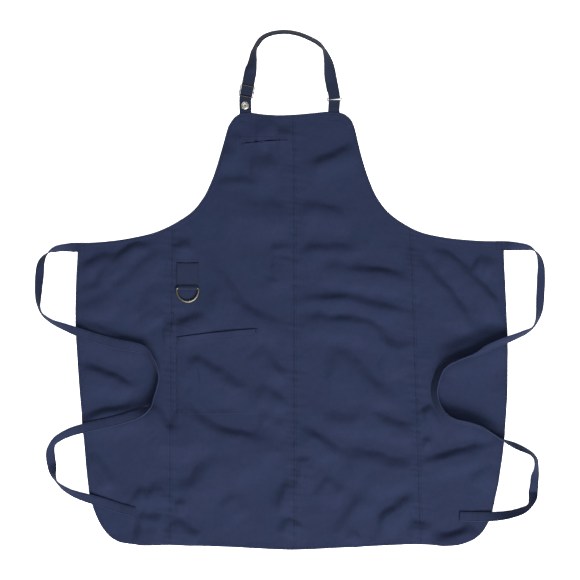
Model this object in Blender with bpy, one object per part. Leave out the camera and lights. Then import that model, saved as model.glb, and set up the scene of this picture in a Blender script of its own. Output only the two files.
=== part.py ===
"""Welding apron: a bib apron of four panels with a neck strap, two waist ties, a pen pocket,
a patch pocket and a D-ring tab. It lies flat on its back, as it is laid out on a table.

Frame: metres, +Z up out of the front of the apron, +Y towards the neck strap, +X to the
apron's right-hand side as it lies. The origin is on the table, under the middle of the layout.
Lengths in the constants and tables below are millimetres.
"""
import math

import bmesh
import bpy
from mathutils import Matrix, Vector

for old in list(bpy.data.objects):
    bpy.data.objects.remove(old, do_unlink=True)

# ---------------------------------------------------------------- driving dimensions (mm)
MM = 0.001
GAP = 0.3            # running gap between separate layers
CENTRING = (0.15, -0.28)   # puts the origin under the middle of the whole layout
CLOTH_T = 0.6        # twill
HEM_T = 1.7          # narrow edge turned twice
PANEL_Z = 2.0        # underside of the four panels
TOP_Z = PANEL_Z + CLOTH_T + GAP   # underside of whatever is sewn on the front
TIE_W, TIE_T = 19.0, 0.9
NECK_W, NECK_T = 25.0, 1.0
TAB_W, TAB_T = 24.0, 0.8
BINDING_W = 8.0
SEAM_GAP = 0.3

RING_WIRE_R = 2.0    # D-ring
RING_W = 44.0        # between wire centres
RING_H = 27.0
RING_BAR = (-204.6, 3.2)
TAB45_W = 44.6       # the D-ring's tab
TAB45_FOLD_W = 38.4
TAB45_TOP = 55.0

SNAP_AT = (-89.9, 368.4)
SNAP_CAP_R = 7.8

SLIDER_AT = (-86.4, 397.2)
SLIDER_L = 22.0      # between the two end bars' centres
SLIDER_W = 28.4      # between the two side wires' centres
SLIDER_WIRE_R = 0.95
SLIDER_DIP = 3.2     # how far the centre bar lies under the end bars

OVAL_AT = (88.8, 381.0)
OVAL_W = 29.8        # between wire centres
OVAL_H = 5.4
OVAL_WIRE_R = 0.9

PEN_BAG = (-97.0, -3.0, 192.0, 303.5)
POCKET_X = (-227.0, -64.6)
POCKET_BOTTOM = -247.5

# ---------------------------------------------------------------- outline control points
# left armhole, from the bib's corner down to the side corner
LEFT_ARMHOLE = (
    (-123.5, 328), (-128.3, 312), (-137, 280), (-146.5, 248), (-158, 216),
    (-174, 184), (-202, 152), (-258, 120), (-316, 104.6), (-372, 96.8), (-427, 94),
)
LEFT_SIDE = ((-427, 94), (-425.5, 76), (-428.5, 10), (-429.5, -52), (-426, -132), (-419, -228), (-410.6, -324), (-402.5, -404))
LEFT_HEM_CORNER = ((-402.5, -404), (-394, -436), (-380, -468), (-364, -490), (-348, -501.5), (-332, -506.5), (-300, -510))
HEM = ((-300, -510), (-220, -511), (-124, -514.4), (-24, -519.4), (24, -519.8), (104, -515.8), (208, -510.6), (256, -508.8), (304, -511.6))
RIGHT_HEM_CORNER = ((304, -511.6), (334, -509.3), (354, -504), (370, -496), (385, -484), (399, -461), (407, -436))
RIGHT_SIDE = ((407, -436), (419.5, -372), (428, -308), (435, -212), (435.5, -132), (434, -52), (431, 12), (428.3, 70), (428.5, 97.6))
RIGHT_ARMHOLE = (
    (428.5, 97.6), (370, 99), (306, 105.8), (252, 119.6), (202, 151),
    (175, 184), (160, 216), (149, 248), (140, 280), (132.8, 312), (128.4, 328),
)
BIB_TOP_RIGHT = ((128.4, 328), (124, 338), (116, 347), (102, 354.4), (72, 357))
BIB_TOP = ((72, 357), (40, 353.6), (8, 350.9), (-24, 350), (-52, 351.5), (-76, 354.6))
BIB_TOP_LEFT = ((-76, 354.6), (-90, 355.2), (-101, 352.2), (-113, 343.5), (-123.5, 328))

# seams between the panels, from the top down
CENTRE_SEAM = ((4.5, 350.8), (6.5, 240), (7, 0), (7.2, -300), (7.4, -519.6))
LEFT_SEAM = ((-236, 125.2), (-238.4, -60), (-240.6, -300), (-242.4, -510.8))
RIGHT_SEAM = ((238.6, 124.6), (246, -60), (254, -300), (260.4, -508.9))

# The lie of the tapes. Each row is x, y, the tape's turn about its own length in degrees
# (0 is flat, 90 stands on its edge), and the height of what it lies on.
LEFT_TIE_ROUTE = (
    (-427.7, 85.4, 0, 0.3), (-444.1, 84.8, 32, 0.3), (-460.1, 83.4, 50, 0.3),
    (-470.1, 80.4, 68, 0.3), (-480.1, 75.6, 90, 0.3), (-491.1, 65, 62, 0.3),
    (-498.1, 50, 30, 0.3), (-500.9, 28, 15, 0.3), (-502.5, 0, 30, 0.3),
    (-502.9, -20, 50, 0.3), (-500.5, -36, 76, 0.3), (-494.5, -48.6, 90, 0.3),
    (-482.1, -59, 70, 0.3), (-468.1, -66.8, 55, 0.3), (-448.1, -74.6, 40, 0.8),
    (-434.1, -80, 28, 2.9), (-390.1, -95, 6, 2.9), (-350.1, -106, 0, 2.9),
    (-314.1, -115.4, 8, 2.9), (-294.1, -124, 44, 2.9), (-281.1, -138, 60, 2.9),
    (-271.1, -156, 66, 2.9), (-267.1, -176, 70, 2.9), (-269.1, -196, 73, 2.9),
    (-273.5, -216, 78, 2.9), (-281.1, -232.4, 84, 2.9), (-294.1, -242.6, 48, 2.9),
    (-314.1, -251, 14, 2.9), (-350.1, -261.4, 2, 2.9), (-384.1, -269, 4, 2.9),
    (-412.1, -276, 12, 2.9), (-430.1, -281.2, 22, 2.9), (-446.1, -287.2, 30, 0.8),
    (-463.1, -296.6, 42, 0.3), (-473.7, -307.6, 60, 0.3), (-478.3, -322, 38, 0.3),
    (-478.1, -340, 8, 0.3), (-475.5, -356, 14, 0.3), (-472.3, -370, 48, 0.3),
    (-465.7, -383, 86, 0.3), (-452.1, -395.6, 55, 0.3), (-436.1, -404.8, 40, 0.3),
    (-420.1, -411.2, 28, 1.5), (-408.1, -414.8, 18, 2.9), (-380.1, -423, 5, 2.9),
    (-344.1, -435, 0, 2.9), (-310.5, -443.6, 0, 2.9),
)
RIGHT_TIE_ROUTE = (
    (429.5, 88.6, 0, 0.3), (443.9, 87.8, -25, 0.3), (459.9, 86.6, -42, 0.3),
    (472.9, 84.8, -62, 0.3), (485.9, 79.6, -90, 0.3), (496.5, 67, -62, 0.3),
    (501.5, 48, -38, 0.3), (501.9, 28, -26, 0.3), (500.9, -4, -22, 0.3),
    (498.9, -34, -30, 0.3), (495.5, -52, -52, 0.3), (490.5, -66, -78, 0.3),
    (482.9, -76.6, -90, 0.3), (470.9, -84, -64, 0.3), (455.9, -90.6, -53, 0.5),
    (440.9, -96.4, -46, 2.9), (419.9, -104, -40, 2.9), (395.9, -114.6, -48, 2.9),
    (367.9, -129.2, -60, 2.9), (338.9, -136.8, -66, 2.9), (316.9, -143.6, -68, 2.9),
    (300.9, -158, -72, 2.9), (291.5, -182, -74, 2.9), (288.3, -204, -77, 2.9),
    (292.9, -226, -80, 2.9), (305.5, -247, -82, 2.9), (326.9, -260, -80, 2.9),
    (351.9, -266, -80, 2.9), (375.9, -272.8, -80, 2.9), (399.9, -285, -80, 2.9),
    (419.9, -296.8, -80, 2.9), (435.9, -304.4, -66, 2.9), (451.9, -311.8, -62, 0.8),
    (467.9, -318.8, -68, 0.3), (482.9, -327.6, -80, 0.3), (491.1, -339.6, -66, 0.3),
    (491.9, -356, -50, 0.3), (489.5, -374, -25, 0.3), (487.5, -396, -15, 0.3),
    (484.5, -415, -42, 0.3), (477.9, -430.6, -86, 0.3), (464.9, -439.6, -60, 0.3),
    (447.9, -445.6, -50, 0.3), (429.9, -449.8, -36, 0.6), (411.9, -451.8, -24, 2.9),
    (391.9, -452.8, -10, 2.9), (365.9, -453.2, 0, 2.9), (338.9, -452.4, 0, 2.9),
)
NECK_ROUTE = (
    (-89.4, 381.4, 0, 4.5), (-85.8, 400, 0, 4.5), (-82.8, 416, 0, 4.5),
    (-79.9, 431, 0, 4.5), (-77.7, 442, -20, 3.4), (-75.5, 451, -36, 1.2),
    (-73.5, 462, -45, 0.3), (-71.9, 474, -54, 0.3), (-69.5, 484, -60, 0.3),
    (-65.5, 494, -66, 0.3), (-58.1, 503.4, -74, 0.3), (-47.1, 510.4, -80, 0.3),
    (-30.1, 515.2, -78, 0.3), (-8.1, 516.8, -74, 0.3), (13.9, 513.6, -78, 0.3),
    (31.9, 507.4, -82, 0.3), (46.9, 500.4, -80, 0.3), (57.9, 493.4, -76, 0.3),
    (65.5, 484, -70, 0.3), (70.7, 473, -60, 0.3), (74.7, 462, -50, 0.3),
    (77.7, 450, -36, 0.9), (79.3, 438, -22, 2.2), (80.7, 426, -8, 3.2),
    (82.9, 414, 0, 3.6), (85.5, 400, 0, 3.6),
)


# ---------------------------------------------------------------- helpers
def catmull(points, steps):
    """A smooth curve through the points: steps stretches between each pair."""
    pts = [tuple(map(float, p)) for p in points]
    first = tuple(2 * a - b for a, b in zip(pts[0], pts[1]))
    last = tuple(2 * a - b for a, b in zip(pts[-1], pts[-2]))
    ext = [first] + pts + [last]
    out = []
    for i in range(1, len(ext) - 2):
        p0, p1, p2, p3 = ext[i - 1 : i + 3]
        for s in range(steps):
            t = s / steps
            out.append(tuple(
                0.5 * (2 * b + (c - a) * t + (2 * a - 5 * b + 4 * c - d) * t * t + (3 * b - a - 3 * c + d) * t ** 3)
                for a, b, c, d in zip(p0, p1, p2, p3)
            ))
    out.append(pts[-1])
    return out


def monotone(values, steps):
    """Values between the stations that never pass beyond them: steps stretches between each pair."""
    d = [b - a for a, b in zip(values, values[1:])]
    m = [0.0] + [0.0 if a * b <= 0 else 2 * a * b / (a + b) for a, b in zip(d, d[1:])] + [0.0]
    out = []
    for i, (a, b) in enumerate(zip(values, values[1:])):
        for s in range(steps):
            t = s / steps
            out.append(a * (1 + 2 * t) * (1 - t) ** 2 + m[i] * t * (1 - t) ** 2 + b * t * t * (3 - 2 * t) - m[i + 1] * t * t * (1 - t))
    out.append(values[-1])
    return out


def x_on(curve, y):
    """Where a curve that runs up or down crosses the height y."""
    for (x0, y0), (x1, y1) in zip(curve, curve[1:]):
        if (y0 - y) * (y1 - y) <= 0 and y0 != y1:
            return x0 + (x1 - x0) * (y - y0) / (y1 - y0)
    return curve[-1][0]


def inward(curve, side, by):
    """The curve moved by a distance to its left (side 1) or right (side -1)."""
    out = []
    for i, (x, y) in enumerate(curve):
        a, b = curve[max(i - 1, 0)], curve[min(i + 1, len(curve) - 1)]
        dx, dy = b[0] - a[0], b[1] - a[1]
        n = math.hypot(dx, dy) or 1.0
        out.append((x - side * by * dy / n, y + side * by * dx / n))
    return out


def material(name, rgb, rough, metal=0.0):
    m = bpy.data.materials.new(name)
    m.use_nodes = True
    b = m.node_tree.nodes["Principled BSDF"]
    b.inputs["Base Color"].default_value = (*rgb, 1.0)
    b.inputs["Roughness"].default_value = rough
    b.inputs["Metallic"].default_value = metal
    m.diffuse_color = (*rgb, 1.0)
    return m


NAVY = (0.030, 0.040, 0.090)
WEB = (0.026, 0.032, 0.066)
BRASS = (0.20, 0.18, 0.13)
BLACK_METAL = (0.05, 0.05, 0.05)
NICKEL = (0.60, 0.59, 0.54)


def finish(name, bm, rgb, rough, metal=0.0, smooth=False, origin=None, parent=None):
    """Turns a bmesh in millimetres into a named object in metres, with its origin where asked."""
    bmesh.ops.translate(bm, vec=(*CENTRING, 0), verts=bm.verts)
    bmesh.ops.scale(bm, vec=(MM, MM, MM), verts=bm.verts)
    bmesh.ops.recalc_face_normals(bm, faces=bm.faces)
    mesh = bpy.data.meshes.new(name)
    o = (Vector(origin) + Vector((*CENTRING, 0))) * MM if origin else Vector()
    bmesh.ops.translate(bm, vec=-o, verts=bm.verts)
    bm.to_mesh(mesh)
    bm.free()
    ob = bpy.data.objects.new(name, mesh)
    bpy.context.scene.collection.objects.link(ob)
    mesh.materials.append(material(name + "_mat", rgb, rough, metal))
    if smooth:
        mesh.shade_smooth()
        mesh.set_sharp_from_angle(angle=math.radians(40))
    if parent:
        ob.parent = parent
        ob.location = o - parent.location
    else:
        ob.location = o
    return ob


def empty(name, at):
    e = bpy.data.objects.new(name, None)
    e.location = (Vector(at) + Vector((*CENTRING, 0))) * MM
    e.empty_display_size = 0.02
    bpy.context.scene.collection.objects.link(e)
    return e


def slab(name, outline, z0, z1, rgb, rough=0.85, **kw):
    """A flat piece: its outline, extruded from z0 to z1."""
    bm = bmesh.new()
    clean = []
    for p in outline:
        if not clean or math.hypot(p[0] - clean[-1][0], p[1] - clean[-1][1]) > 0.2:
            clean.append(p)
    if math.hypot(clean[0][0] - clean[-1][0], clean[0][1] - clean[-1][1]) <= 0.2:
        clean.pop()
    face = bm.faces.new([bm.verts.new((x, y, z0)) for x, y in clean])
    up = bmesh.ops.extrude_face_region(bm, geom=[face])
    bmesh.ops.translate(bm, vec=(0, 0, z1 - z0), verts=[v for v in up["geom"] if isinstance(v, bmesh.types.BMVert)])
    return finish(name, bm, rgb, rough, **kw)


def ribbon_mesh(rows, width, thick):
    """A strip of rectangular section. Each row is a centre point, the direction across the strip and,
    if it differs, the width there."""
    bm = bmesh.new()
    rings = []
    for i, row in enumerate(rows):
        p, across = Vector(row[0]), Vector(row[1]).normalized()
        w = row[2] if len(row) > 2 else width
        a, b = Vector(rows[max(i - 1, 0)][0]), Vector(rows[min(i + 1, len(rows) - 1)][0])
        normal = (b - a).cross(across).normalized()
        rings.append([bm.verts.new(p + across * (sx * w / 2) + normal * (sz * thick / 2))
                      for sx, sz in ((1, 1), (1, -1), (-1, -1), (-1, 1))])
    for r0, r1 in zip(rings, rings[1:]):
        # both faces are split along the same diagonal, so that a twisted stretch keeps its thickness
        for face in ((r0[3], r0[0], r1[3]), (r0[0], r1[0], r1[3]), (r0[1], r0[2], r1[2]), (r0[1], r1[2], r1[1]),
                     (r0[0], r0[1], r1[1]), (r0[0], r1[1], r1[0]), (r0[2], r0[3], r1[3]), (r0[2], r1[3], r1[2])):
            bm.faces.new(face)
    bm.faces.new(rings[0])
    bm.faces.new(rings[-1])
    return bm


def tape_rows(route, width, thick, steps):
    """Stations along a tape that lies on its table of x, y, turn and height."""
    fine = list(zip([p[0] for p in catmull([r[:2] for r in route], steps)], [p[1] for p in catmull([r[:2] for r in route], steps)],
                    monotone([float(r[2]) for r in route], steps), monotone([float(r[3]) for r in route], steps)))
    rows = []
    for i, (x, y, roll, floor) in enumerate(fine):
        a, b = fine[max(i - 1, 0)], fine[min(i + 1, len(fine) - 1)]
        along = Vector((b[0] - a[0], b[1] - a[1], 0)).normalized()
        left = Vector((-along.y, along.x, 0))
        r = math.radians(roll)
        z = max(floor, 0.3) + abs(math.sin(r)) * width / 2 + abs(math.cos(r)) * thick / 2
        rows.append((Vector((x, y, z)), left * math.cos(r) + Vector((0, 0, math.sin(r)))))
    return rows


def arc(cy, cz, r, a0, a1, n):
    """Points (y, z) on an arc, angles in degrees from +Y towards +Z."""
    return [(cy + r * math.cos(math.radians(a0 + (a1 - a0) * i / n)),
             cz + r * math.sin(math.radians(a0 + (a1 - a0) * i / n))) for i in range(n + 1)]


def tube_mesh(points, radius, sides, closed, plane_normal=(0, 0, 1)):
    """A round wire along a planar path."""
    bm = bmesh.new()
    n = len(points)
    up = Vector(plane_normal).normalized()
    rings = []
    for i, p in enumerate(points):
        a = Vector(points[(i - 1) % n] if closed else points[max(i - 1, 0)])
        b = Vector(points[(i + 1) % n] if closed else points[min(i + 1, n - 1)])
        along = (b - a).normalized()
        side = along.cross(up).normalized()
        top = side.cross(along).normalized()
        rings.append([bm.verts.new(Vector(p) + side * (radius * math.cos(2 * math.pi * (k + 0.5) / sides))
                                   + top * (radius * math.sin(2 * math.pi * (k + 0.5) / sides))) for k in range(sides)])
    for i in range(n if closed else n - 1):
        r0, r1 = rings[i], rings[(i + 1) % n]
        for k in range(sides):
            bm.faces.new((r0[k], r0[(k + 1) % sides], r1[(k + 1) % sides], r1[k]))
    if not closed:
        bm.faces.new(rings[0])
        bm.faces.new(rings[-1])
    return bm


def turned_mesh(profile, at, segments, ring=False):
    """A turned piece: profile of (radius, z). Its ends lie on the axis unless it is a ring."""
    bm = bmesh.new()
    loops = []
    for r, z in profile:
        if r < 1e-6:
            loops.append([bm.verts.new((at[0], at[1], z))])
        else:
            loops.append([bm.verts.new((at[0] + r * math.cos(2 * math.pi * k / segments),
                                        at[1] + r * math.sin(2 * math.pi * k / segments), z)) for k in range(segments)])
    pairs = list(zip(loops, loops[1:])) + ([(loops[-1], loops[0])] if ring else [])
    for a, b in pairs:
        for k in range(segments):
            quad = [a[k % len(a)], a[(k + 1) % len(a)], b[(k + 1) % len(b)], b[k % len(b)]]
            seen = []
            for v in quad:
                if v not in seen:
                    seen.append(v)
            bm.faces.new(seen)
    return bm


def boolean(target, cutter_mesh, operation):
    """Joins or cuts a piece with a guide that isn't part of the apron."""
    mesh = bpy.data.meshes.new(target.name + "_guide")
    bmesh.ops.translate(cutter_mesh, vec=(*CENTRING, 0), verts=cutter_mesh.verts)
    bmesh.ops.scale(cutter_mesh, vec=(MM, MM, MM), verts=cutter_mesh.verts)
    bmesh.ops.recalc_face_normals(cutter_mesh, faces=cutter_mesh.faces)
    cutter_mesh.to_mesh(mesh)
    cutter_mesh.free()
    guide = bpy.data.objects.new(target.name + "_guide_" + str(len(target.modifiers)), mesh)
    guide.hide_render = True
    guide.display_type = "WIRE"
    bpy.context.scene.collection.objects.link(guide)
    mod = target.modifiers.new(operation.title(), "BOOLEAN")
    mod.operation = operation
    mod.object = guide
    mod.solver = "EXACT"
    return guide


def between(curve, y_from, y_to):
    """The points of a curve that runs from y_from to y_to, with both ends put on exactly."""
    top, low = max(y_from, y_to), min(y_from, y_to)
    mid = [p for p in curve if low + 1 < p[1] < top - 1]
    mid.sort(key=lambda p: -p[1] if y_from > y_to else p[1])
    return [(x_on(curve, y_from), y_from)] + mid + [(x_on(curve, y_to), y_to)]


# ---------------------------------------------------------------- outline of the body
left_arm = catmull(LEFT_ARMHOLE, 3)
left_side = catmull(LEFT_SIDE, 2)
left_corner = catmull(LEFT_HEM_CORNER, 2)
hem = catmull(HEM, 2)
right_corner = catmull(RIGHT_HEM_CORNER, 2)
right_side = catmull(RIGHT_SIDE, 2)
right_arm = catmull(RIGHT_ARMHOLE, 3)
top_right = catmull(BIB_TOP_RIGHT, 2)
top_mid = catmull(BIB_TOP, 2)
top_left = catmull(BIB_TOP_LEFT, 2)
centre = catmull(CENTRE_SEAM, 2)
seam_l = catmull(LEFT_SEAM, 2)
seam_r = catmull(RIGHT_SEAM, 2)


def split_at_x(curve, x):
    """A curve that runs along X, cut at x: the part before and the part after, both with the cut point."""
    rising = curve[-1][0] > curve[0][0]
    before, after = [], []
    for a, b in zip(curve, curve[1:]):
        if (a[0] - x) * (b[0] - x) <= 0 and a[0] != b[0]:
            t = (x - a[0]) / (b[0] - a[0])
            cut = (x, a[1] + (b[1] - a[1]) * t)
            before = [p for p in curve if (p[0] < x - 0.5) == rising and abs(p[0] - x) > 0.5] + [cut]
            after = [cut] + [p for p in curve if (p[0] > x + 0.5) == rising and abs(p[0] - x) > 0.5]
            return before, after
    return curve, []


# bottom edge from left to right, whole
bottom = left_corner[:-1] + hem[:-1] + right_corner
g = SEAM_GAP / 2
lx, lx2 = seam_l[0][0], seam_l[-1][0]
rx, rx2 = seam_r[0][0], seam_r[-1][0]
cx, cx2 = centre[0][0], centre[-1][0]

arm_l_bib, arm_l_side = split_at_x(left_arm, lx + g)       # left armhole: bib part, then side part
_, arm_l_side = split_at_x(left_arm, lx - g)
arm_r_side, _ = split_at_x(right_arm, rx + g)              # runs from the side corner to the bib
arm_r_side, arm_r_bib = split_at_x(list(reversed(right_arm)), rx + g)[::-1]
arm_r_bib_down, _ = split_at_x(list(reversed(right_arm)), rx - g)   # from the bib down to the seam
_, arm_r_side_down = split_at_x(list(reversed(right_arm)), rx + g)  # from the seam to the side corner
top_lr = list(reversed(top_right[:-1] + top_mid[:-1] + top_left))   # left to right along the bib's top
top_a, _ = split_at_x(top_lr, cx - g)
_, top_b = split_at_x(top_lr, cx + g)
bot_a, _ = split_at_x(bottom, lx2 - g)
_, rest = split_at_x(bottom, lx2 + g)
bot_b, _ = split_at_x(rest, cx2 - g)
_, rest = split_at_x(bottom, cx2 + g)
bot_c, _ = split_at_x(rest, rx2 - g)
_, bot_d = split_at_x(bottom, rx2 + g)


def seam_points(seam, dx):
    return [(x + dx, y) for x, y in seam[1:-1]]


z0, z1 = PANEL_Z, PANEL_Z + CLOTH_T
slab("side_panel_left",
     arm_l_side + left_side[1:] + bot_a[1:] + list(reversed(seam_points(seam_l, -g))), z0, z1, NAVY)
front_left = slab("front_panel_left",
                  top_a + seam_points(centre, -g) + list(reversed(bot_b)) + list(reversed(seam_points(seam_l, g)))
                  + list(reversed(arm_l_bib)), z0, z1, NAVY)
slab("front_panel_right",
     top_b + arm_r_bib_down[1:] + seam_points(seam_r, -g) + list(reversed(bot_c)) + list(reversed(seam_points(centre, g))),
     z0, z1, NAVY)
slab("side_panel_right",
     arm_r_side_down + list(reversed(right_side))[1:] + list(reversed(bot_d))[1:] + list(reversed(seam_points(seam_r, g))),
     z0, z1, NAVY)

# ---------------------------------------------------------------- edges and facing, behind the panels
FACING_LOW = 305.0
face_l = between(inward(left_arm, 1, 10.5), 322, FACING_LOW)
face_r = between(inward(list(reversed(right_arm)), -1, 10.5), FACING_LOW, 322)
corner_l = [p for p in inward(top_lr, -1, 1.5)]
slab("bib_facing", corner_l + list(reversed(face_r)) + list(reversed(face_l)), 0.0, CLOTH_T, NAVY)


def strip(name, curve, side, width, z0, z1, inset=0.6):
    """A strip along an edge, on one side of it."""
    a, b = inward(curve, side, inset), inward(curve, side, inset + width)
    return slab(name, a + list(reversed(b)), z0, z1, NAVY)


arm_l_cut = [p for p in left_arm if p[0] > -404 and p[1] < 326]
arm_r_cut = [p for p in reversed(right_arm) if p[0] < 405 and p[1] < 326]
strip("armhole_binding_left", arm_l_cut, 1, BINDING_W, 0.0, HEM_T)
strip("armhole_binding_right", arm_r_cut, -1, BINDING_W, 0.0, HEM_T)
side_l_cut = between(left_side, 70, -396)
side_r_cut = between(list(reversed(right_side)), 70, -428)
strip("side_hem_left", side_l_cut, 1, BINDING_W, 0.0, HEM_T)
strip("side_hem_right", side_r_cut, -1, BINDING_W, 0.0, HEM_T)
strip("bottom_hem", bottom, 1, 10.0, 0.0, HEM_T)

# ---------------------------------------------------------------- pen pocket
slab("pen_pocket_bag", [(PEN_BAG[0], PEN_BAG[3]), (PEN_BAG[1], PEN_BAG[3] - 1), (PEN_BAG[1], PEN_BAG[2]), (PEN_BAG[0], PEN_BAG[2])],
     1.1, 1.7, NAVY)
for i, (ax, ay, bx, by) in enumerate(((-93, 294.2, -60, 297.2), (-54.6, 297.8, -22.4, 300.2), (-19.6, 300.4, -4.4, 300.2))):
    d = Vector((bx - ax, by - ay, 0)).normalized()
    n = Vector((d.y, -d.x, 0))
    A, B = Vector((ax, ay, 0)), Vector((bx, by, 0))
    cut = bmesh.new()
    face = cut.faces.new([cut.verts.new(p + Vector((0, 0, PANEL_Z - 2))) for p in (A - n * 0.6, A + n * 0.6, B + n * 0.6, B - n * 0.6)])
    up = bmesh.ops.extrude_face_region(cut, geom=[face])
    bmesh.ops.translate(cut, vec=(0, 0, 6), verts=[v for v in up["geom"] if isinstance(v, bmesh.types.BMVert)])
    boolean(front_left, cut, "DIFFERENCE")
    slab(f"pen_pocket_welt_{i + 1}", [tuple((p + n * k).xy) for p, k in ((A, 1.0), (A, 5.0), (B, 5.0), (B, 1.0))],
         TOP_Z, TOP_Z + CLOTH_T, NAVY)

# ---------------------------------------------------------------- patch pocket
slab("patch_pocket", [(POCKET_X[0], -94.0), (-100.0, -79.4), (POCKET_X[1], -77.0), (POCKET_X[1] - 0.4, POCKET_BOTTOM), (POCKET_X[0] + 0.6, POCKET_BOTTOM)],
     TOP_Z, TOP_Z + CLOTH_T, NAVY)

# ---------------------------------------------------------------- D-ring and its tab
bar_y, bar_x = RING_BAR[1], RING_BAR[0]
wrap_r = RING_WIRE_R + GAP + TAB_T / 2
bar_z = TOP_Z + wrap_r + TAB_T / 2
tab_path = (
    [(TAB45_TOP, TOP_Z + TAB_T / 2), (30, TOP_Z + TAB_T / 2), (9, TOP_Z + TAB_T / 2)]
    + arc(bar_y, bar_z, wrap_r, -90, -270, 12)
    + [(bar_y + 3.0, bar_z + wrap_r - 1.2), (bar_y + 6.5, TOP_Z + TAB_T + GAP + TAB_T / 2 + 0.9), (bar_y + 10, TOP_Z + TAB_T + GAP + TAB_T / 2),
       (30, TOP_Z + TAB_T + GAP + TAB_T / 2), (TAB45_TOP - 0.6, TOP_Z + TAB_T + GAP + TAB_T / 2)]
)
tab_rows = []
for ty, tz in tab_path:        # the fold is squeezed between the ring's corners
    squeeze = min(1.0, max(0.0, (ty - 5.0) / 6.0))
    tab_rows.append(((bar_x, ty, tz), (1, 0, 0), TAB45_FOLD_W + (TAB45_W - TAB45_FOLD_W) * squeeze))
finish("ring_tab", ribbon_mesh(tab_rows, TAB45_W, TAB_T), NAVY, 0.85)

ring_axis = empty("d_ring_axis", (bar_x, bar_y, bar_z))
DROP = math.radians(1.7)       # the ring's free end rests on the cloth
loop = []
hw, rc = RING_W / 2, 2.6
for i in range(6):             # straight bar
    loop.append((-(hw - rc) + 2 * (hw - rc) * i / 5, 0.0))
for i in range(1, 5):          # right-hand corner
    t = math.pi / 2 * (1 - i / 5)
    loop.append((hw - rc + rc * math.cos(t), -rc + rc * math.sin(t)))
for i in range(27):            # round bow
    t = math.pi * i / 26
    loop.append((hw * math.cos(t), -rc - (RING_H - rc) * math.sin(t)))
for i in range(4, 0, -1):      # left-hand corner
    t = math.pi / 2 * (1 - i / 5)
    loop.append((-(hw - rc) - rc * math.cos(t), -rc + rc * math.sin(t)))
ring_pts = [(bar_x + x, bar_y + y * math.cos(DROP), bar_z + y * math.sin(DROP)) for x, y in loop]
finish("d_ring", tube_mesh(ring_pts, RING_WIRE_R, 14, True, (0, -math.sin(DROP), math.cos(DROP))), BRASS, 0.35, 1.0,
       smooth=True, origin=(bar_x, bar_y, bar_z), parent=ring_axis)

# ---------------------------------------------------------------- waist ties
for side, route, root in (("left", LEFT_TIE_ROUTE, (-425.5, -408.0)), ("right", RIGHT_TIE_ROUTE, (427.6, 410.0))):
    y_mid = route[0][1]
    hinge = empty(f"waist_tie_{side}_axis", (route[0][0], y_mid + TIE_W / 2 + 0.3, 1.2))
    rows = tape_rows(route, TIE_W, TIE_T, 3)
    finish(f"waist_tie_{side}", ribbon_mesh(rows, TIE_W, TIE_T), WEB, 0.8,
           origin=(route[0][0], y_mid + TIE_W / 2 + 0.3, 1.2), parent=hinge)
    x0, x1 = sorted(root)
    slab(f"tie_root_{side}", [(x0, y_mid - TIE_W / 2), (x1, y_mid - TIE_W / 2), (x1, y_mid + TIE_W / 2), (x0, y_mid + TIE_W / 2)],
         0.3, 0.3 + TIE_T, WEB)

# ---------------------------------------------------------------- neck strap, its tabs, ring, slider and snap
TAB_Z = CLOTH_T + GAP          # tabs come out between the facing and the panels
AXIS_L, AXIS_R = Vector((-88.6, 357.2, TAB_Z + TAB_T)), Vector((OVAL_AT[0] - 1.2, 359.2, TAB_Z + TAB_T))
loop_axis = empty("neck_loop_axis", AXIS_L)
base_mid = TAB_Z + TAB_T / 2
for side, at, low in (("left", AXIS_L, 330.0), ("right", AXIS_R, 332.0)):
    slab(f"neck_tab_base_{side}", [(at.x - TAB_W / 2, low), (at.x + TAB_W / 2, low), (at.x + TAB_W / 2, at.y - 0.15), (at.x - TAB_W / 2, at.y - 0.15)],
         TAB_Z, TAB_Z + TAB_T, WEB, parent=None)

neck_parent = loop_axis
# left tab, one ply under the snap
finish("neck_tab_left", ribbon_mesh([((AXIS_L.x, AXIS_L.y + 0.15, base_mid), (1, 0, 0)), ((AXIS_L.x - 0.4, 372, base_mid), (1, 0, 0)),
                                     ((AXIS_L.x - 0.6, 381.0, base_mid), (1, 0, 0))], TAB_W, TAB_T), WEB, 0.8, parent=neck_parent)
tab_top = TAB_Z + TAB_T
finish("snap_stud", turned_mesh([(0, tab_top + GAP), (4.6, tab_top + GAP), (4.9, tab_top + GAP + 0.3), (4.6, tab_top + GAP + 0.6),
                                 (2.0, tab_top + GAP + 0.7), (1.9, tab_top + GAP + 1.2), (2.2, tab_top + GAP + 1.6), (1.6, tab_top + GAP + 2.0), (0, tab_top + GAP + 2.1)],
                                SNAP_AT, 32), NICKEL, 0.3, 1.0, smooth=True, parent=neck_parent)

# the strap's snap end: flap, socket and cap, folding about the line under the slider
FLAP_Z = 4.6
flap_dir = Vector((NECK_ROUTE[1][0] - NECK_ROUTE[0][0], NECK_ROUTE[1][1] - NECK_ROUTE[0][1], 0)).normalized()
flap_across = Vector((flap_dir.y, -flap_dir.x, 0))
start = Vector(NECK_ROUTE[0][:2] + (0,))
FLAP_AXIS = Vector((start.x, start.y, FLAP_Z + TAB_T))
flap_hinge = empty("snap_flap_axis", FLAP_AXIS)
flap_top = start - flap_dir * 0.35
flap_low = Vector((SNAP_AT[0] + 0.1, 362.0, 0))
mid = (flap_top + flap_low) / 2
finish("snap_flap", ribbon_mesh([((flap_low.x, flap_low.y, FLAP_Z + TAB_T / 2), (1, 0, 0), TAB_W - 0.6), ((mid.x - 0.3, mid.y, FLAP_Z + TAB_T / 2), (1, 0, 0), TAB_W),
                                 ((flap_top.x, flap_top.y, FLAP_Z + TAB_T / 2), flap_across, TAB_W)], TAB_W, TAB_T),
       WEB, 0.8, origin=FLAP_AXIS, parent=flap_hinge)
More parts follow.
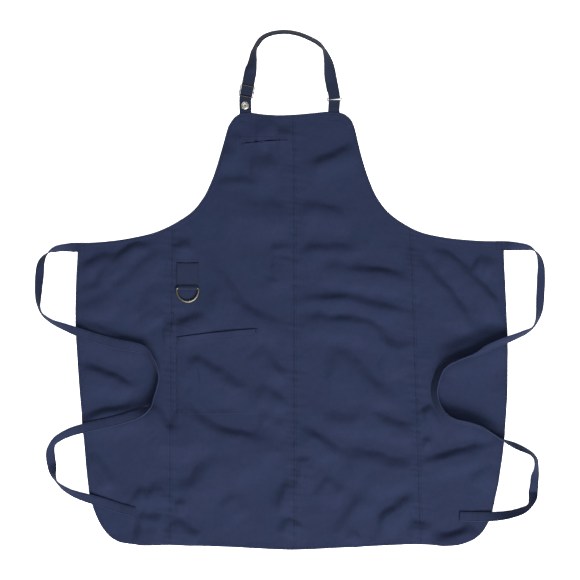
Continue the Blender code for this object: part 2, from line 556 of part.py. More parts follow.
finish("snap_socket", turned_mesh([(2.6, 3.1), (5.6, 3.1), (6.2, 3.5), (6.2, 4.0), (5.6, FLAP_Z - GAP), (2.6, FLAP_Z - GAP)], SNAP_AT, 24, ring=True),
       NICKEL, 0.35, 1.0, smooth=True, parent=flap_hinge)
cap0 = FLAP_Z + TAB_T + GAP
finish("snap_cap", turned_mesh([(0, cap0), (SNAP_CAP_R - 0.5, cap0), (SNAP_CAP_R, cap0 + 0.5), (SNAP_CAP_R - 0.3, cap0 + 1.0), (SNAP_CAP_R - 1.6, cap0 + 1.45),
                                (4.6, cap0 + 1.35), (3.6, cap0 + 1.6), (1.4, cap0 + 1.7), (1.2, cap0 + 1.4), (0, cap0 + 1.35)],
                               SNAP_AT, 48), NICKEL, 0.3, 1.0, smooth=True, parent=flap_hinge)

# the strap itself, ending in a loop round the oval ring's upper bar
oy, ox = OVAL_AT[1], OVAL_AT[0]
upper, lower = oy + OVAL_H / 2, oy - OVAL_H / 2
oval_z = GAP + NECK_T + GAP + OVAL_WIRE_R
loop_w = 23.2
rows = tape_rows(NECK_ROUTE, NECK_W, NECK_T, 3)
r_in = OVAL_WIRE_R + GAP + NECK_T / 2
end_path = arc(upper, oval_z, r_in, 90, -90, 10)          # down the far side of the bar
end_path = [(2 * upper - y, z) for y, z in end_path]        # the bend lies inside the ring, below its upper bar
rows = rows[:-1]
last = rows[-1][0]
rows += [((last.x + (ox - last.x) * t, last.y + (upper + 2.2 - last.y) * t, last.z + (oval_z + r_in - last.z) * t),
          (1, 0.0, 0), NECK_W + (loop_w - NECK_W) * t) for t in (0.35, 0.7, 1.0)]
rows += [((ox, y, z), (1, 0, 0), loop_w) for y, z in end_path]
rows += [((ox - 0.3, upper + 3.0, oval_z - r_in), (1, 0, 0), loop_w), ((ox - 1.0, upper + 12.0, oval_z - r_in), (1, 0, 0), loop_w)]
finish("neck_strap", ribbon_mesh(rows, NECK_W, NECK_T), WEB, 0.8, parent=neck_parent)

# oval ring
oval = []
hw, hh = OVAL_W / 2, OVAL_H / 2
for i in range(5):
    oval.append((-(hw - hh) + 2 * (hw - hh) * i / 4, hh))
for i in range(1, 8):
    t = math.pi / 2 - math.pi * i / 8
    oval.append((hw - hh + hh * math.cos(t), hh * math.sin(t)))
for i in range(5):
    oval.append(((hw - hh) - 2 * (hw - hh) * i / 4, -hh))
for i in range(1, 8):
    t = -math.pi / 2 - math.pi * i / 8
    oval.append((-(hw - hh) + hh * math.cos(t), hh * math.sin(t)))
finish("neck_ring", tube_mesh([(ox + x, oy + y, oval_z) for x, y in oval], OVAL_WIRE_R, 12, True), BLACK_METAL, 0.35, 1.0,
       smooth=True, parent=neck_parent)

# right tab, doubled round the oval ring's lower bar
r_tab = OVAL_WIRE_R + GAP + TAB_T / 2
tab_path = [(AXIS_R.y + 0.15, base_mid), (AXIS_R.y + 5, base_mid), (lower - 3.0, oval_z - r_tab)]
tab_path += arc(lower, oval_z, r_tab, -90, 90, 10)
tab_path += [(lower - 4.0, oval_z + r_tab - 0.5), (AXIS_R.y + 6.0, 3.3)]
finish("neck_tab_right", ribbon_mesh([((AXIS_R.x + (ox - AXIS_R.x) * min(1, (y - AXIS_R.y) / 18), y, z), (1, 0, 0), loop_w) for y, z in tab_path], loop_w, TAB_T),
       WEB, 0.8, parent=neck_parent)

# slider: a wire frame whose end bars lie over the strap and whose centre bar lies under it
along = Vector((NECK_ROUTE[2][0] - NECK_ROUTE[0][0], NECK_ROUTE[2][1] - NECK_ROUTE[0][1], 0)).normalized()
acr = Vector((along.y, -along.x, 0))
strap_lo, strap_hi = 4.5, 4.5 + NECK_T
zc = strap_lo - GAP - SLIDER_WIRE_R
ze = strap_hi + GAP + SLIDER_WIRE_R
C = Vector((SLIDER_AT[0], SLIDER_AT[1], 0))
slider_axis = empty("strap_slider_axis", (C.x, C.y, zc))


def slider_point(u, v):
    """u along the strap, v across it; the frame dips towards its middle."""
    k = abs(u) / (SLIDER_L / 2)
    return C + along * u + acr * v + Vector((0, 0, zc + (ze - zc) * (3 * k * k - 2 * k ** 3)))


hl, hw, rc = SLIDER_L / 2, SLIDER_W / 2, 2.0
frame_pts = []
for u, v in ([(hl, -hw + rc + (2 * hw - 2 * rc) * i / 4) for i in range(5)]
             + [(hl - rc + rc * math.cos(t), hw - rc + rc * math.sin(t)) for t in (math.pi / 6, math.pi / 3)]
             + [(hl - rc - (2 * hl - 2 * rc) * i / 10, hw) for i in range(11)]
             + [(-hl + rc - rc * math.sin(t), hw - rc + rc * math.cos(t)) for t in (math.pi / 6, math.pi / 3)]
             + [(-hl, hw - rc - (2 * hw - 2 * rc) * i / 4) for i in range(5)]
             + [(-hl + rc - rc * math.cos(t), -hw + rc - rc * math.sin(t)) for t in (math.pi / 6, math.pi / 3)]
             + [(-hl + rc + (2 * hl - 2 * rc) * i / 10, -hw) for i in range(11)]
             + [(hl - rc + rc * math.sin(t), -hw + rc - rc * math.cos(t)) for t in (math.pi / 6, math.pi / 3)]):
    frame_pts.append(slider_point(u, v))
slider = finish("strap_slider", tube_mesh(frame_pts, SLIDER_WIRE_R, 12, True), BLACK_METAL, 0.4, 1.0, smooth=True,
                origin=(C.x, C.y, zc), parent=slider_axis)
boolean(slider, tube_mesh([slider_point(0, -hw + 0.2), slider_point(0, 0), slider_point(0, hw - 0.2)], SLIDER_WIRE_R * 0.92, 12, False), "UNION")
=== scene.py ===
"""Looks of the welding apron: the cloth, the tapes, the stitching and the finishes, laid round
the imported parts. Lengths in the tables are millimetres in the part's own layout, as in part.py;
SHIFT puts them in the row frame, and everything is written out in metres."""

import math

import bpy
import numpy as np
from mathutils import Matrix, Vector
from mathutils.geometry import delaunay_2d_cdt
from mathutils.kdtree import KDTree


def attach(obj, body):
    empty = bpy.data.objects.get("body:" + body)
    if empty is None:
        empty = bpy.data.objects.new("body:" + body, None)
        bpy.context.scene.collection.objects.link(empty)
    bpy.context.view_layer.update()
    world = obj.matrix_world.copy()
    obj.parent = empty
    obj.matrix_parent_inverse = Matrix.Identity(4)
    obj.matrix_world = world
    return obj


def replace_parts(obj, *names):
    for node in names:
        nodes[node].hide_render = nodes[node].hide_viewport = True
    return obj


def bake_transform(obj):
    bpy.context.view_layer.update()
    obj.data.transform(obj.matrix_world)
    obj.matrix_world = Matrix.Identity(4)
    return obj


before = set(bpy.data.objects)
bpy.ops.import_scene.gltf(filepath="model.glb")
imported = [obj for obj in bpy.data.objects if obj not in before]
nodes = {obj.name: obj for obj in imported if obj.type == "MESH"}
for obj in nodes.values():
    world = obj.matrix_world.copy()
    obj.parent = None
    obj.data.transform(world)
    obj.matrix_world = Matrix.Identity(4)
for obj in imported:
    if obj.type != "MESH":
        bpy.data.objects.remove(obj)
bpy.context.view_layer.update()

SHIFT = np.array((0.15, -0.28, 0.0))
BASE = 2.6            # top of the cloth where it lies flat

# ------------------------------------------------------------------ the CAD outline and routes
LEFT_ARMHOLE = (
    (-123.5, 328), (-128.3, 312), (-137, 280), (-146.5, 248), (-158, 216),
    (-174, 184), (-202, 152), (-258, 120), (-316, 104.6), (-372, 96.8), (-427, 94),
)
LEFT_SIDE = ((-427, 94), (-425.5, 76), (-428.5, 10), (-429.5, -52), (-426, -132), (-419, -228), (-410.6, -324), (-402.5, -404))
LEFT_HEM_CORNER = ((-402.5, -404), (-394, -436), (-380, -468), (-364, -490), (-348, -501.5), (-332, -506.5), (-300, -510))
HEM = ((-300, -510), (-220, -511), (-124, -514.4), (-24, -519.4), (24, -519.8), (104, -515.8), (208, -510.6), (256, -508.8), (304, -511.6))
RIGHT_HEM_CORNER = ((304, -511.6), (334, -509.3), (354, -504), (370, -496), (385, -484), (399, -461), (407, -436))
RIGHT_SIDE = ((407, -436), (419.5, -372), (428, -308), (435, -212), (435.5, -132), (434, -52), (431, 12), (428.3, 70), (428.5, 97.6))
RIGHT_ARMHOLE = (
    (428.5, 97.6), (370, 99), (306, 105.8), (252, 119.6), (202, 151),
    (175, 184), (160, 216), (149, 248), (140, 280), (132.8, 312), (128.4, 328),
)
BIB_TOP_RIGHT = ((128.4, 328), (124, 338), (116, 347), (102, 354.4), (72, 357))
BIB_TOP = ((72, 357), (40, 353.6), (8, 350.9), (-24, 350), (-52, 351.5), (-76, 354.6))
BIB_TOP_LEFT = ((-76, 354.6), (-90, 355.2), (-101, 352.2), (-113, 343.5), (-123.5, 328))
CENTRE_SEAM = ((4.5, 350.8), (6.5, 240), (7, 0), (7.2, -300), (7.4, -519.6))
LEFT_SEAM = ((-236, 125.2), (-238.4, -60), (-240.6, -300), (-242.4, -510.8))
RIGHT_SEAM = ((238.6, 124.6), (246, -60), (254, -300), (260.4, -508.9))
LEFT_TIE_ROUTE = (
    (-427.7, 85.4, 0, 0.3), (-444.1, 84.8, -32, 0.3), (-460.1, 83.4, -50, 0.3),
    (-470.1, 80.4, -62.15, 0.3), (-480.1, 75.6, -90, 0.3), (-491.1, 65, -121.15, 0.3),
    (-498.1, 50, -150, 0.3), (-500.9, 28, -165, 0.3), (-502.5, 0, -150, 0.3),
    (-502.9, -20, -130, 0.3), (-500.5, -36, -113.45, 0.3), (-494.5, -48.6, -105.75, 0.3),
    (-482.1, -59, -116.75, 0.3), (-468.1, -66.8, -125, 0.3), (-448.1, -74.6, -140, 0.8),
    (-434.1, -80, -152, 2.9), (-390.1, -95, -174, 2.9), (-350.1, -106, -180, 2.9),
    (-312.0, -113.6, -172, 2.9), (-290.6, -120.0, -146, 2.9), (-276.6, -137, -118, 2.9),
    (-266.6, -156, -110, 2.9), (-262.9, -174, -106, 2.9), (-267.1, -196, -104, 2.9),
    (-272.5, -216, -100, 2.9), (-277.6, -231.6, -102, 2.9), (-292.6, -241.4, -140, 2.9),
    (-314.1, -251, -166, 2.9), (-350.1, -261.4, -178, 2.9), (-384.1, -269, -176, 2.9),
    (-412.1, -276, -188, 2.9), (-430.1, -281.2, -198, 2.9), (-446.1, -287.2, -210, 0.8),
    (-463.1, -296.6, -222, 0.3), (-473.7, -307.6, -238, 0.3), (-478.3, -322, -218, 0.3),
    (-478.1, -340, -188, 0.3), (-475.5, -356, -166, 0.3), (-472.3, -370, -132, 0.3),
    (-465.7, -383, -107.95, 0.3), (-452.1, -395.6, -125, 0.3), (-436.1, -404.8, -140, 0.3),
    (-420.1, -411.2, -152, 1.5), (-408.1, -414.8, -162, 2.9), (-380.1, -423, -175, 2.9),
    (-344.1, -435, -180, 2.9), (-310.5, -443.6, -180, 2.9),
)
RIGHT_TIE_ROUTE = (
    (429.5, 88.6, 0, 0.3), (443.9, 87.8, 25, 0.3), (459.9, 86.6, 42, 0.3),
    (472.9, 84.8, 58.85, 0.3), (485.9, 79.6, 90, 0.3), (496.5, 67, 121.15, 0.3),
    (501.5, 48, 142, 0.3), (501.9, 28, 154, 0.3), (500.9, -4, 158, 0.3),
    (498.9, -34, 150, 0.3), (495.5, -52, 128, 0.3), (490.5, -66, 112.35, 0.3),
    (482.9, -76.6, 105.75, 0.3), (470.9, -84, 120.05, 0.3), (455.9, -90.6, 127, 0.5),
    (440.9, -96.4, 134, 2.9), (419.9, -104, 140, 2.9), (395.9, -114.6, 140, 2.9),
    (367.9, -129.2, 116, 2.9), (338.9, -136.8, 84, 2.9), (316.9, -143.6, 64, 2.9),
    (300.9, -158, 58, 2.9), (291.5, -182, 56, 2.9), (288.3, -204, 56, 2.9),
    (292.9, -226, 58, 2.9), (305.5, -247, 58, 2.9), (326.9, -260, 60, 2.9),
    (351.9, -266, 62, 2.9), (375.9, -272.8, 68, 2.9), (399.9, -285, 82, 2.9),
    (419.9, -296.8, 96, 2.9), (435.9, -304.4, 114, 2.9), (451.9, -311.8, 121.15, 0.8),
    (467.9, -318.8, 117.85, 0.3), (482.9, -327.6, 111.25, 0.3), (491.1, -339.6, 118.95, 0.3),
    (491.9, -356, 130, 0.3), (489.5, -374, 155, 0.3), (487.5, -396, 165, 0.3),
    (484.5, -415, 222, 0.3), (477.9, -430.6, 252.05, 0.3), (464.9, -439.6, 237.75, 0.3),
    (447.9, -445.6, 230, 0.3), (429.9, -449.8, 216, 0.6), (411.9, -451.8, 204, 2.9),
    (391.9, -452.8, 190, 2.9), (365.9, -453.2, 180, 2.9), (338.9, -452.4, 180, 2.9),
)
NECK_ROUTE = (
    (-89.4, 381.4, 0, 4.5), (-85.8, 400, 0, 4.5), (-82.8, 416, 0, 4.5),
    (-79.9, 431, 0, 4.5), (-77.7, 442, -20, 3.4), (-75.5, 451, -36, 1.2),
    (-73.5, 462, -45, 0.3), (-71.9, 474, -54, 0.3), (-69.5, 484, -60, 0.3),
    (-65.5, 494, -66, 0.3), (-58.1, 503.4, -74, 0.3), (-47.1, 510.4, -80, 0.3),
    (-30.1, 515.2, -78, 0.3), (-8.1, 516.8, -74, 0.3), (13.9, 513.6, -78, 0.3),
    (31.9, 507.4, -82, 0.3), (46.9, 500.4, -80, 0.3), (57.9, 493.4, -76, 0.3),
    (65.5, 484, -70, 0.3), (70.7, 473, -60, 0.3), (74.7, 462, -50, 0.3),
    (77.7, 450, -36, 0.9), (79.3, 438, -22, 2.2), (80.7, 426, -8, 3.2),
    (82.9, 414, 0, 3.6), (85.5, 400, 0, 3.6),
)

CAP_AT = (-89.75, 368.1)
TIE_W, TIE_T = 19.0, 2.0
NECK_W, NECK_T = 25.0, 1.3
TAB_W, TAB_T = 24.0, 0.8

# Creases of the cloth as it lies: height, half-width, and the foot line of the steep side.
CREASES = (
    (10.0, 13, ((-419, -34), (-386, -27), (-354, -6), (-319, 30), (-290, 55), (-265, 69), (-244, 62))),
    (10.0, 13, ((-415, -2), (-386, 9), (-369, 34), (-340, 62), (-312, 84), (-272, 94))),
    (7.7, 14, ((-419, 42), (-397, 52), (-376, 66), (-347, 76))),
    (5.2, 15, ((-336, -59), (-329, -34), (-312, 2))),
    (5.2, 15, ((-302, -59), (-290, -24), (-281, 16))),
    (5.2, 15, ((-272, -34), (-254, -56))),
    (7.7, 14, ((-236, 80), (-219, 89), (-194, 89))),
    (7.7, 14, ((-180, 2), (-162, -6), (-136, -6))),
    (11.0, 20, ((-162, 55), (-147, 34), (-126, 5), (-104, -24), (-76, -48), (-40, -63), (-12, -74))),
    (10.0, 13, ((-229, -72), (-201, -63), (-169, -45))),
    (5.2, 15, ((-254, -75), (-230, -75))),
    (5.2, 15, ((-80, 344), (-48, 341), (-33, 326), (-22, 320))),
    (5.2, 15, ((-68, 320), (-40, 318))),
    (5.2, 15, ((-28, 314), (6, 316))),
    (5.2, 15, ((-128, 304), (-100, 306))),
    (5.2, 15, ((-140, 276), (-108, 276))),
    (7.7, 22, ((-80, 254), (-28, 258))),
    (7.7, 22, ((-136, 188), (-80, 174), (-4, 168))),
    (5.2, 15, ((-80, 152), (-4, 154))),
    (5.2, 15, ((-152, 214), (-100, 220), (-56, 214))),
    (3.5, 8, ((-40, 84), (2, 86))),
    (3.5, 8, ((-36, 64), (2, 64))),
    (3.5, 8, ((-40, 48), (4, 48))),
    (3.5, 8, ((-32, 36), (4, 34))),
    (3.5, 8, ((-44, 20), (4, 18))),
    (10.0, 13, ((39, 257), (71, 262), (104, 276), (125, 289))),
    (7.7, 14, ((18, 168), (46, 166), (89, 160), (114, 160))),
    (7.7, 14, ((18, 87), (46, 84), (142, 84))),
    (13.1, 14, ((57, 52), (89, 44), (143, 39), (186, 34), (214, 26), (243, 17))),
    (10.0, 13, ((21, -14), (107, -16), (154, -27), (200, -36), (239, -45))),
    (7.7, 14, ((18, -52), (107, -59), (175, -72))),
    (10.0, 13, ((36, -64), (107, -64), (150, -67), (171, -78), (193, -103), (218, -110), (246, -108))),
    (11.0, 20, ((82, -114), (107, -128), (125, -146), (143, -167), (168, -192), (193, -210), (211, -231))),
    (5.2, 15, ((192, -124), (221, -146), (236, -164))),
    (10.0, 13, ((154, -238), (178, -254), (204, -267), (228, -272), (246, -270))),
    (5.2, 15, ((68, -249), (107, -256), (154, -256))),
    (10.0, 13, ((28, -274), (46, -288), (68, -302), (89, -320), (100, -335))),
    (11.0, 20, ((100, -331), (132, -328), (171, -336), (200, -348), (232, -352), (250, -356))),
    (5.2, 15, ((71, -374), (92, -392), (110, -398))),
    (5.2, 15, ((82, -496), (107, -460), (132, -424), (154, -396))),
    (5.2, 15, ((112, -492), (132, -480))),
    (10.0, 13, ((178, -485), (189, -456), (211, -435), (228, -420), (250, -417))),
    (5.2, 15, ((232, -474), (257, -470), (286, -474))),
    (10.0, 13, ((252, 76), (271, 48), (293, 20), (314, -2), (332, -27), (354, -56), (375, -79))),
    (10.0, 13, ((286, 80), (314, 70), (339, 48), (364, 23), (389, -2), (411, -30), (428, -62))),
    (5.2, 15, ((375, 66), (392, 55), (410, 46))),
    (7.7, 14, ((264, -246), (286, -235))),
    (3.5, 8, ((264, -302), (282, -302))),
    (10.0, 13, ((266, -346), (296, -336), (321, -331), (357, -324), (386, -315), (407, -306))),
    (5.2, 15, ((360, -382), (400, -346))),
    (10.0, 13, ((289, -498), (321, -494), (346, -485), (364, -470))),
    (10.0, 13, ((-408, -149), (-379, -164), (-347, -178), (-312, -199))),
    (13.1, 14, ((-272, -231), (-254, -264), (-244, -278), (-219, -288), (-190, -292))),
    (18.1, 21, ((-219, -231), (-197, -249), (-165, -274), (-129, -288), (-83, -299), (-40, -306), (-12, -322))),
    (7.7, 14, ((-212, -156), (-190, -142), (-169, -146), (-140, -164), (-112, -185), (-80, -198))),
    (7.7, 14, ((-58, -114), (-40, -138), (-22, -160), (-4, -178))),
    (7.7, 14, ((-58, -188), (-33, -210), (-4, -235))),
    (5.2, 15, ((-62, -246), (-33, -260), (-4, -274))),
    (11.0, 20, ((-226, -394), (-197, -385), (-176, -364), (-154, -346), (-112, -342), (-76, -342))),
    (7.7, 14, ((-308, -452), (-283, -454), (-254, -452))),
    (10.0, 13, ((-312, -494), (-286, -486), (-258, -481))),
    (10.0, 13, ((-233, -460), (-212, -474), (-180, -494))),
    (7.7, 14, ((3, -378), (-15, -402), (-33, -446))),
    (7.7, 14, ((-1, -452), (-22, -485))),
    (5.2, 15, ((-397, -324), (-380, -349), (-362, -370), (-348, -399))),
    (3.5, 8, ((-230, -426), (-204, -426))),
    (5.2, 15, ((-304, -396), (-283, -408), (-258, -388))),
    (5.2, 15, ((-119, -402), (-80, -446))),
    (3.5, 8, ((12, -338), (44, -338))),
    (3.5, 8, ((12, -354), (48, -356))),
    (3.5, 8, ((12, -370), (44, -372))),
    (7.7, 14, ((-426, -67), (-380, -82), (-326, -106), (-290, -106))),
    (13.1, 14, ((-414, -262), (-380, -249), (-340, -242), (-290, -231))),
    (11.0, 20, ((296, -124), (339, -114), (386, -99), (428, -82))),
    (7.7, 14, ((304, -242), (339, -249), (378, -264), (421, -281))),
)

# ------------------------------------------------------------------ settings of the studio
WORLD = 0.40
KEY_AT, KEY_POWER = (1.5, -4.2, 4.0), 1150.0
FILL_POWER = 90.0
TIE_FLIP_RIGHT = 1.0

# ------------------------------------------------------------------ curves
def catmull(points, steps=10):
    """The same smooth curve through the points as in the CAD, with steps stretches between each pair."""
    p = np.array(points, float)
    ext = np.vstack([2 * p[0] - p[1], p, 2 * p[-1] - p[-2]])
    out = []
    for i in range(1, len(ext) - 2):
        p0, p1, p2, p3 = ext[i - 1 : i + 3]
        for s in range(steps):
            t = s / steps
            out.append(0.5 * (2 * p1 + (p2 - p0) * t + (2 * p0 - 5 * p1 + 4 * p2 - p3) * t * t + (3 * p1 - p0 - 3 * p2 + p3) * t ** 3))
    return np.array(out + [p[-1]])


def monotone(values, steps=10):
    """Values between the stations that never pass beyond them."""
    d = np.diff(values)
    m = [0.0] + [0.0 if a * b <= 0 else 2 * a * b / (a + b) for a, b in zip(d, d[1:])] + [0.0]
    out = []
    for i in range(len(values) - 1):
        for s in range(steps):
            t = s / steps
            out.append(values[i] * (1 + 2 * t) * (1 - t) ** 2 + m[i] * t * (1 - t) ** 2
                       + values[i + 1] * t * t * (3 - 2 * t) - m[i + 1] * t * t * (1 - t))
    return np.array(out + [values[-1]])


def lengths(p):
    return np.concatenate([[0], np.cumsum(np.linalg.norm(np.diff(p, axis=0), axis=1))])


def resample(p, step, closed=False):
    """Points at even steps along a polyline."""
    p = np.asarray(p, float)
    if closed:
        p = np.vstack([p, p[:1]])
    s = lengths(p)
    n = max(2, int(round(s[-1] / step)) + 1)
    t = np.linspace(0, s[-1], n)
    q = np.stack([np.interp(t, s, p[:, k]) for k in range(p.shape[1])], axis=1)
    return q[:-1] if closed else q


def tangents(p):
    t = np.gradient(np.asarray(p, float), axis=0)
    return t / np.maximum(np.linalg.norm(t, axis=1, keepdims=True), 1e-9)


def offset(p, by):
    """The curve moved to its left by a distance."""
    t = tangents(p)
    return p + by * np.stack([-t[:, 1], t[:, 0]], axis=1)


def smoothstep(a, b, x):
    t = np.clip((x - a) / (b - a), 0, 1)
    return t * t * (3 - 2 * t)


# ------------------------------------------------------------------ seeded noise
def noise(x, y, size, seed):
    """Smooth gradient noise between about -1 and 1, with features of that size."""
    g = np.random.default_rng(seed).random((64, 64)) * 2 * np.pi
    gx, gy = np.cos(g), np.sin(g)
    u, v = np.asarray(x, float) / size, np.asarray(y, float) / size
    i, j = np.floor(u).astype(int), np.floor(v).astype(int)
    fu, fv = u - i, v - j
    su, sv = fu ** 3 * (fu * (fu * 6 - 15) + 10), fv ** 3 * (fv * (fv * 6 - 15) + 10)
    total = 0
    for di in (0, 1):
        for dj in (0, 1):
            a, b = (i + di) % 64, (j + dj) % 64
            dot = gx[a, b] * (fu - di) + gy[a, b] * (fv - dj)
            total = total + dot * (su if di else 1 - su) * (sv if dj else 1 - sv)
    return total * 1.5


# ------------------------------------------------------------------ outline
left_arm, left_side, left_corner = catmull(LEFT_ARMHOLE), catmull(LEFT_SIDE), catmull(LEFT_HEM_CORNER)
hem, right_corner, right_side, right_arm = catmull(HEM), catmull(RIGHT_HEM_CORNER), catmull(RIGHT_SIDE), catmull(RIGHT_ARMHOLE)
top_right, top_mid, top_left = catmull(BIB_TOP_RIGHT), catmull(BIB_TOP), catmull(BIB_TOP_LEFT)
centre, seam_l, seam_r = catmull(CENTRE_SEAM), catmull(LEFT_SEAM), catmull(RIGHT_SEAM)
# once round with the cloth on the left hand
outer = np.vstack([left_arm[:-1], left_side[:-1], left_corner[:-1], hem[:-1], right_corner[:-1], right_side[:-1],
                   right_arm[:-1], top_right[:-1], top_mid[:-1], top_left[:-1]])
outer = resample(outer, 2.4, closed=True)


def seam_x(seam, y):
    return np.interp(-np.asarray(y), -seam[:, 1], seam[:, 0])


def distance(points, line, closed=False):
    """Distance of each point to a polyline, and where along it the nearest point lies."""
    line = np.vstack([line, line[:1]]) if closed else np.asarray(line)
    a, d = line[:-1], np.diff(line, axis=0)
    dd = np.maximum((d * d).sum(1), 1e-9)
    s0, seg = lengths(line)[:-1], np.sqrt(dd)
    best, along = np.empty(len(points)), np.empty(len(points))
    for k in range(0, len(points), 4000):
        q = points[k : k + 4000, None, :] - a[None]
        t = np.clip((q * d[None]).sum(2) / dd[None], 0, 1)
        e = ((q - t[..., None] * d[None]) ** 2).sum(2)
        i = e.argmin(1)
        r = np.arange(len(i))
        best[k : k + 4000] = np.sqrt(e[r, i])
        along[k : k + 4000] = s0[i] + t[r, i] * seg[i]
    return best, along


def inside(points, loop):
    """Which points lie inside a closed loop."""
    x0, y0 = loop[:, 0], loop[:, 1]
    x1, y1 = np.roll(x0, -1), np.roll(y0, -1)
    out = np.zeros(len(points), bool)
    for k in range(0, len(points), 8000):
        px, py = points[k : k + 8000, :1], points[k : k + 8000, 1:2]
        cross = ((y0 > py) != (y1 > py)) & (px < (x1 - x0) * (py - y0) / np.where(y1 == y0, 1e-9, y1 - y0) + x0)
        out[k : k + 8000] = cross.sum(1) % 2 == 1
    return out


def cut(loop, seam, side, dx):
    """The part of a closed loop on one side of a seam line, closed along the seam."""
    f = (loop[:, 0] - seam_x(seam, loop[:, 1]) - dx) * side
    n = len(loop)
    enter = [i for i in range(n) if f[i - 1] <= 0 < f[i]][0]
    run = [loop[(enter + k) % n] for k in range(n) if f[(enter + k) % n] > 0]
    last = (enter + len(run) - 1) % n

    def crossing(i, j):
        t = f[i] / (f[i] - f[j])
        return loop[i] + (loop[j] - loop[i]) * t

    a, b = crossing(enter - 1, enter), crossing(last, (last + 1) % n)
    m = max(2, int(abs(a[1] - b[1]) / 2.4))
    ys = np.linspace(b[1], a[1], m + 1)[1:-1]
    line = np.stack([seam_x(seam, ys) + dx, ys], axis=1)
    return np.vstack([[a], run, [b], line])


# ------------------------------------------------------------------ the lie of the cloth
STEP = 1.5
gx0, gy0, gnx, gny = -450.0, -535.0, 608, 606
GX, GY = np.meshgrid(gx0 + STEP * np.arange(gnx), gy0 + STEP * np.arange(gny), indexing="ij")
CALM = ((-204.6, 12, 58), (-425, 86, 22), (427, 88, 22), (-89, 350, 34), (88, 352, 34))   # flat where hardware or tapes are sewn on


def crease_field():
    wx = GX + 3.0 * noise(GX, GY, 42, 11) + 1.2 * noise(GX, GY, 17, 12)
    wy = GY + 3.0 * noise(GX, GY, 42, 13) + 1.2 * noise(GX, GY, 17, 14)
    total = np.zeros_like(GX)
    for number, (height, width, points) in enumerate(CREASES):
        line = resample(catmull(points, 8), 6.0)
        back = 1.9 * width
        height = height * (1.60 if abs(line[:, 0].mean()) > 235 else 1.22)
        reach = 2.6 * back
        lo, hi = line.min(0) - reach, line.max(0) + reach
        i0, i1 = max(0, int((lo[0] - gx0) / STEP)), min(gnx, int((hi[0] - gx0) / STEP) + 2)
        j0, j1 = max(0, int((lo[1] - gy0) / STEP)), min(gny, int((hi[1] - gy0) / STEP) + 2)
        px, py = wx[i0:i1, j0:j1], wy[i0:i1, j0:j1]
        p = np.stack([px.ravel(), py.ravel()], axis=1)
        a, d = line[:-1], np.diff(line, axis=0)
        dd = (d * d).sum(1)
        normal = np.stack([-d[:, 1], d[:, 0]], axis=1) / np.sqrt(dd)[:, None]
        normal *= np.where(normal[:, 1:2] < 0, -1, 1)
        if abs(normal[:, 1].mean()) < 0.5:      # a crease that runs up or down keeps one side all along
            normal *= np.sign((normal * normal.mean(0)).sum(1))[:, None]
        q = p[:, None, :] - a[None]
        t = (q * d[None]).sum(2) / dd[None]
        tc = np.clip(t, 0, 1)
        e = ((q - tc[..., None] * d[None]) ** 2).sum(2)
        weight = np.exp(-(e - e.min(1, keepdims=True)) / 18.0)      # a soft choice of the nearest stretch
        weight /= weight.sum(1, keepdims=True)
        side = ((q * normal[None]).sum(2) * weight).sum(1)
        total_len = np.sqrt(dd).sum()
        at = ((np.cumsum(np.sqrt(dd)) - np.sqrt(dd) + tc * np.sqrt(dd)) * weight).sum(1) / total_len
        over = np.sqrt(np.maximum(e.min(1) - side ** 2, 0))
        ends = smoothstep(-0.10, 0.30, at) * smoothstep(-0.10, 0.30, 1 - at) * np.exp(-(over / (1.1 * width)) ** 2)
        u = side + 0.7 * width
        shape = np.exp(-(u / np.where(u > 0, width, back)) ** 2) - 0.22 * np.exp(-((u - 2.0 * width) / (1.1 * width)) ** 2)
        swell = 1 + 0.28 * noise(px, py, 34, 40 + number).ravel()
        total[i0:i1, j0:j1] += (height * shape * ends * swell).reshape(px.shape)
    return total


def lie_of_cloth():
    t = crease_field()
    t = 10.0 * np.tanh(t / 10.0)
    t += 0.95 * noise(GX, GY, 88, 1) + 0.80 * noise(GX, GY * 1.25, 46, 2) + 0.42 * noise(GX, GY * 1.2, 23, 3) + 0.13 * noise(GX, GY, 11, 4)
    fold = noise(GX + 0.6 * GY, GY, 64, 5)
    t += 0.45 * (1 - np.sqrt(fold ** 2 + 0.004) * 2.2) * smoothstep(-0.4, 0.5, noise(GX, GY, 120, 6))
    for x, y, r in CALM:
        t *= 1 - np.exp(-(((GX - x) ** 2 + (GY - y) ** 2) / r ** 2) ** 2)
    k = np.exp(-0.5 * (np.arange(-3, 4) / 1.1) ** 2)
    k /= k.sum()
    for axis in (0, 1):
        t = sum(w * np.roll(t, s, axis) for w, s in zip(k, range(-3, 4)))
    low = -1.15
    return np.where(t < 0, low * (1 - np.exp(t / -low)), t)        # the table stops it from going down


LIE = lie_of_cloth()


def lie(x, y):
    """Height of the cloth over its flat lie."""
    u = np.clip((np.asarray(x, float) - gx0) / STEP, 0, gnx - 1.001)
    v = np.clip((np.asarray(y, float) - gy0) / STEP, 0, gny - 1.001)
    i, j = u.astype(int), v.astype(int)
    a, b = u - i, v - j
    return (LIE[i, j] * (1 - a) * (1 - b) + LIE[i + 1, j] * a * (1 - b) + LIE[i, j + 1] * (1 - a) * b + LIE[i + 1, j + 1] * a * b)


def on_cloth(x, y, out=18.0):
    """Height of the apron's upper face for what lies over it, falling to the table outside."""
    p = np.stack([np.ravel(x), np.ravel(y)], axis=1)
    d, _ = distance(p, outer, True)
    d = np.where(inside(p, outer), d, -d)
    h = (BASE + lie(p[:, 0], p[:, 1]) + 0.25) * smoothstep(-out, 0.0, d) + 0.15 * (1 - smoothstep(-out, 0.0, d))
    return h.reshape(np.shape(x))


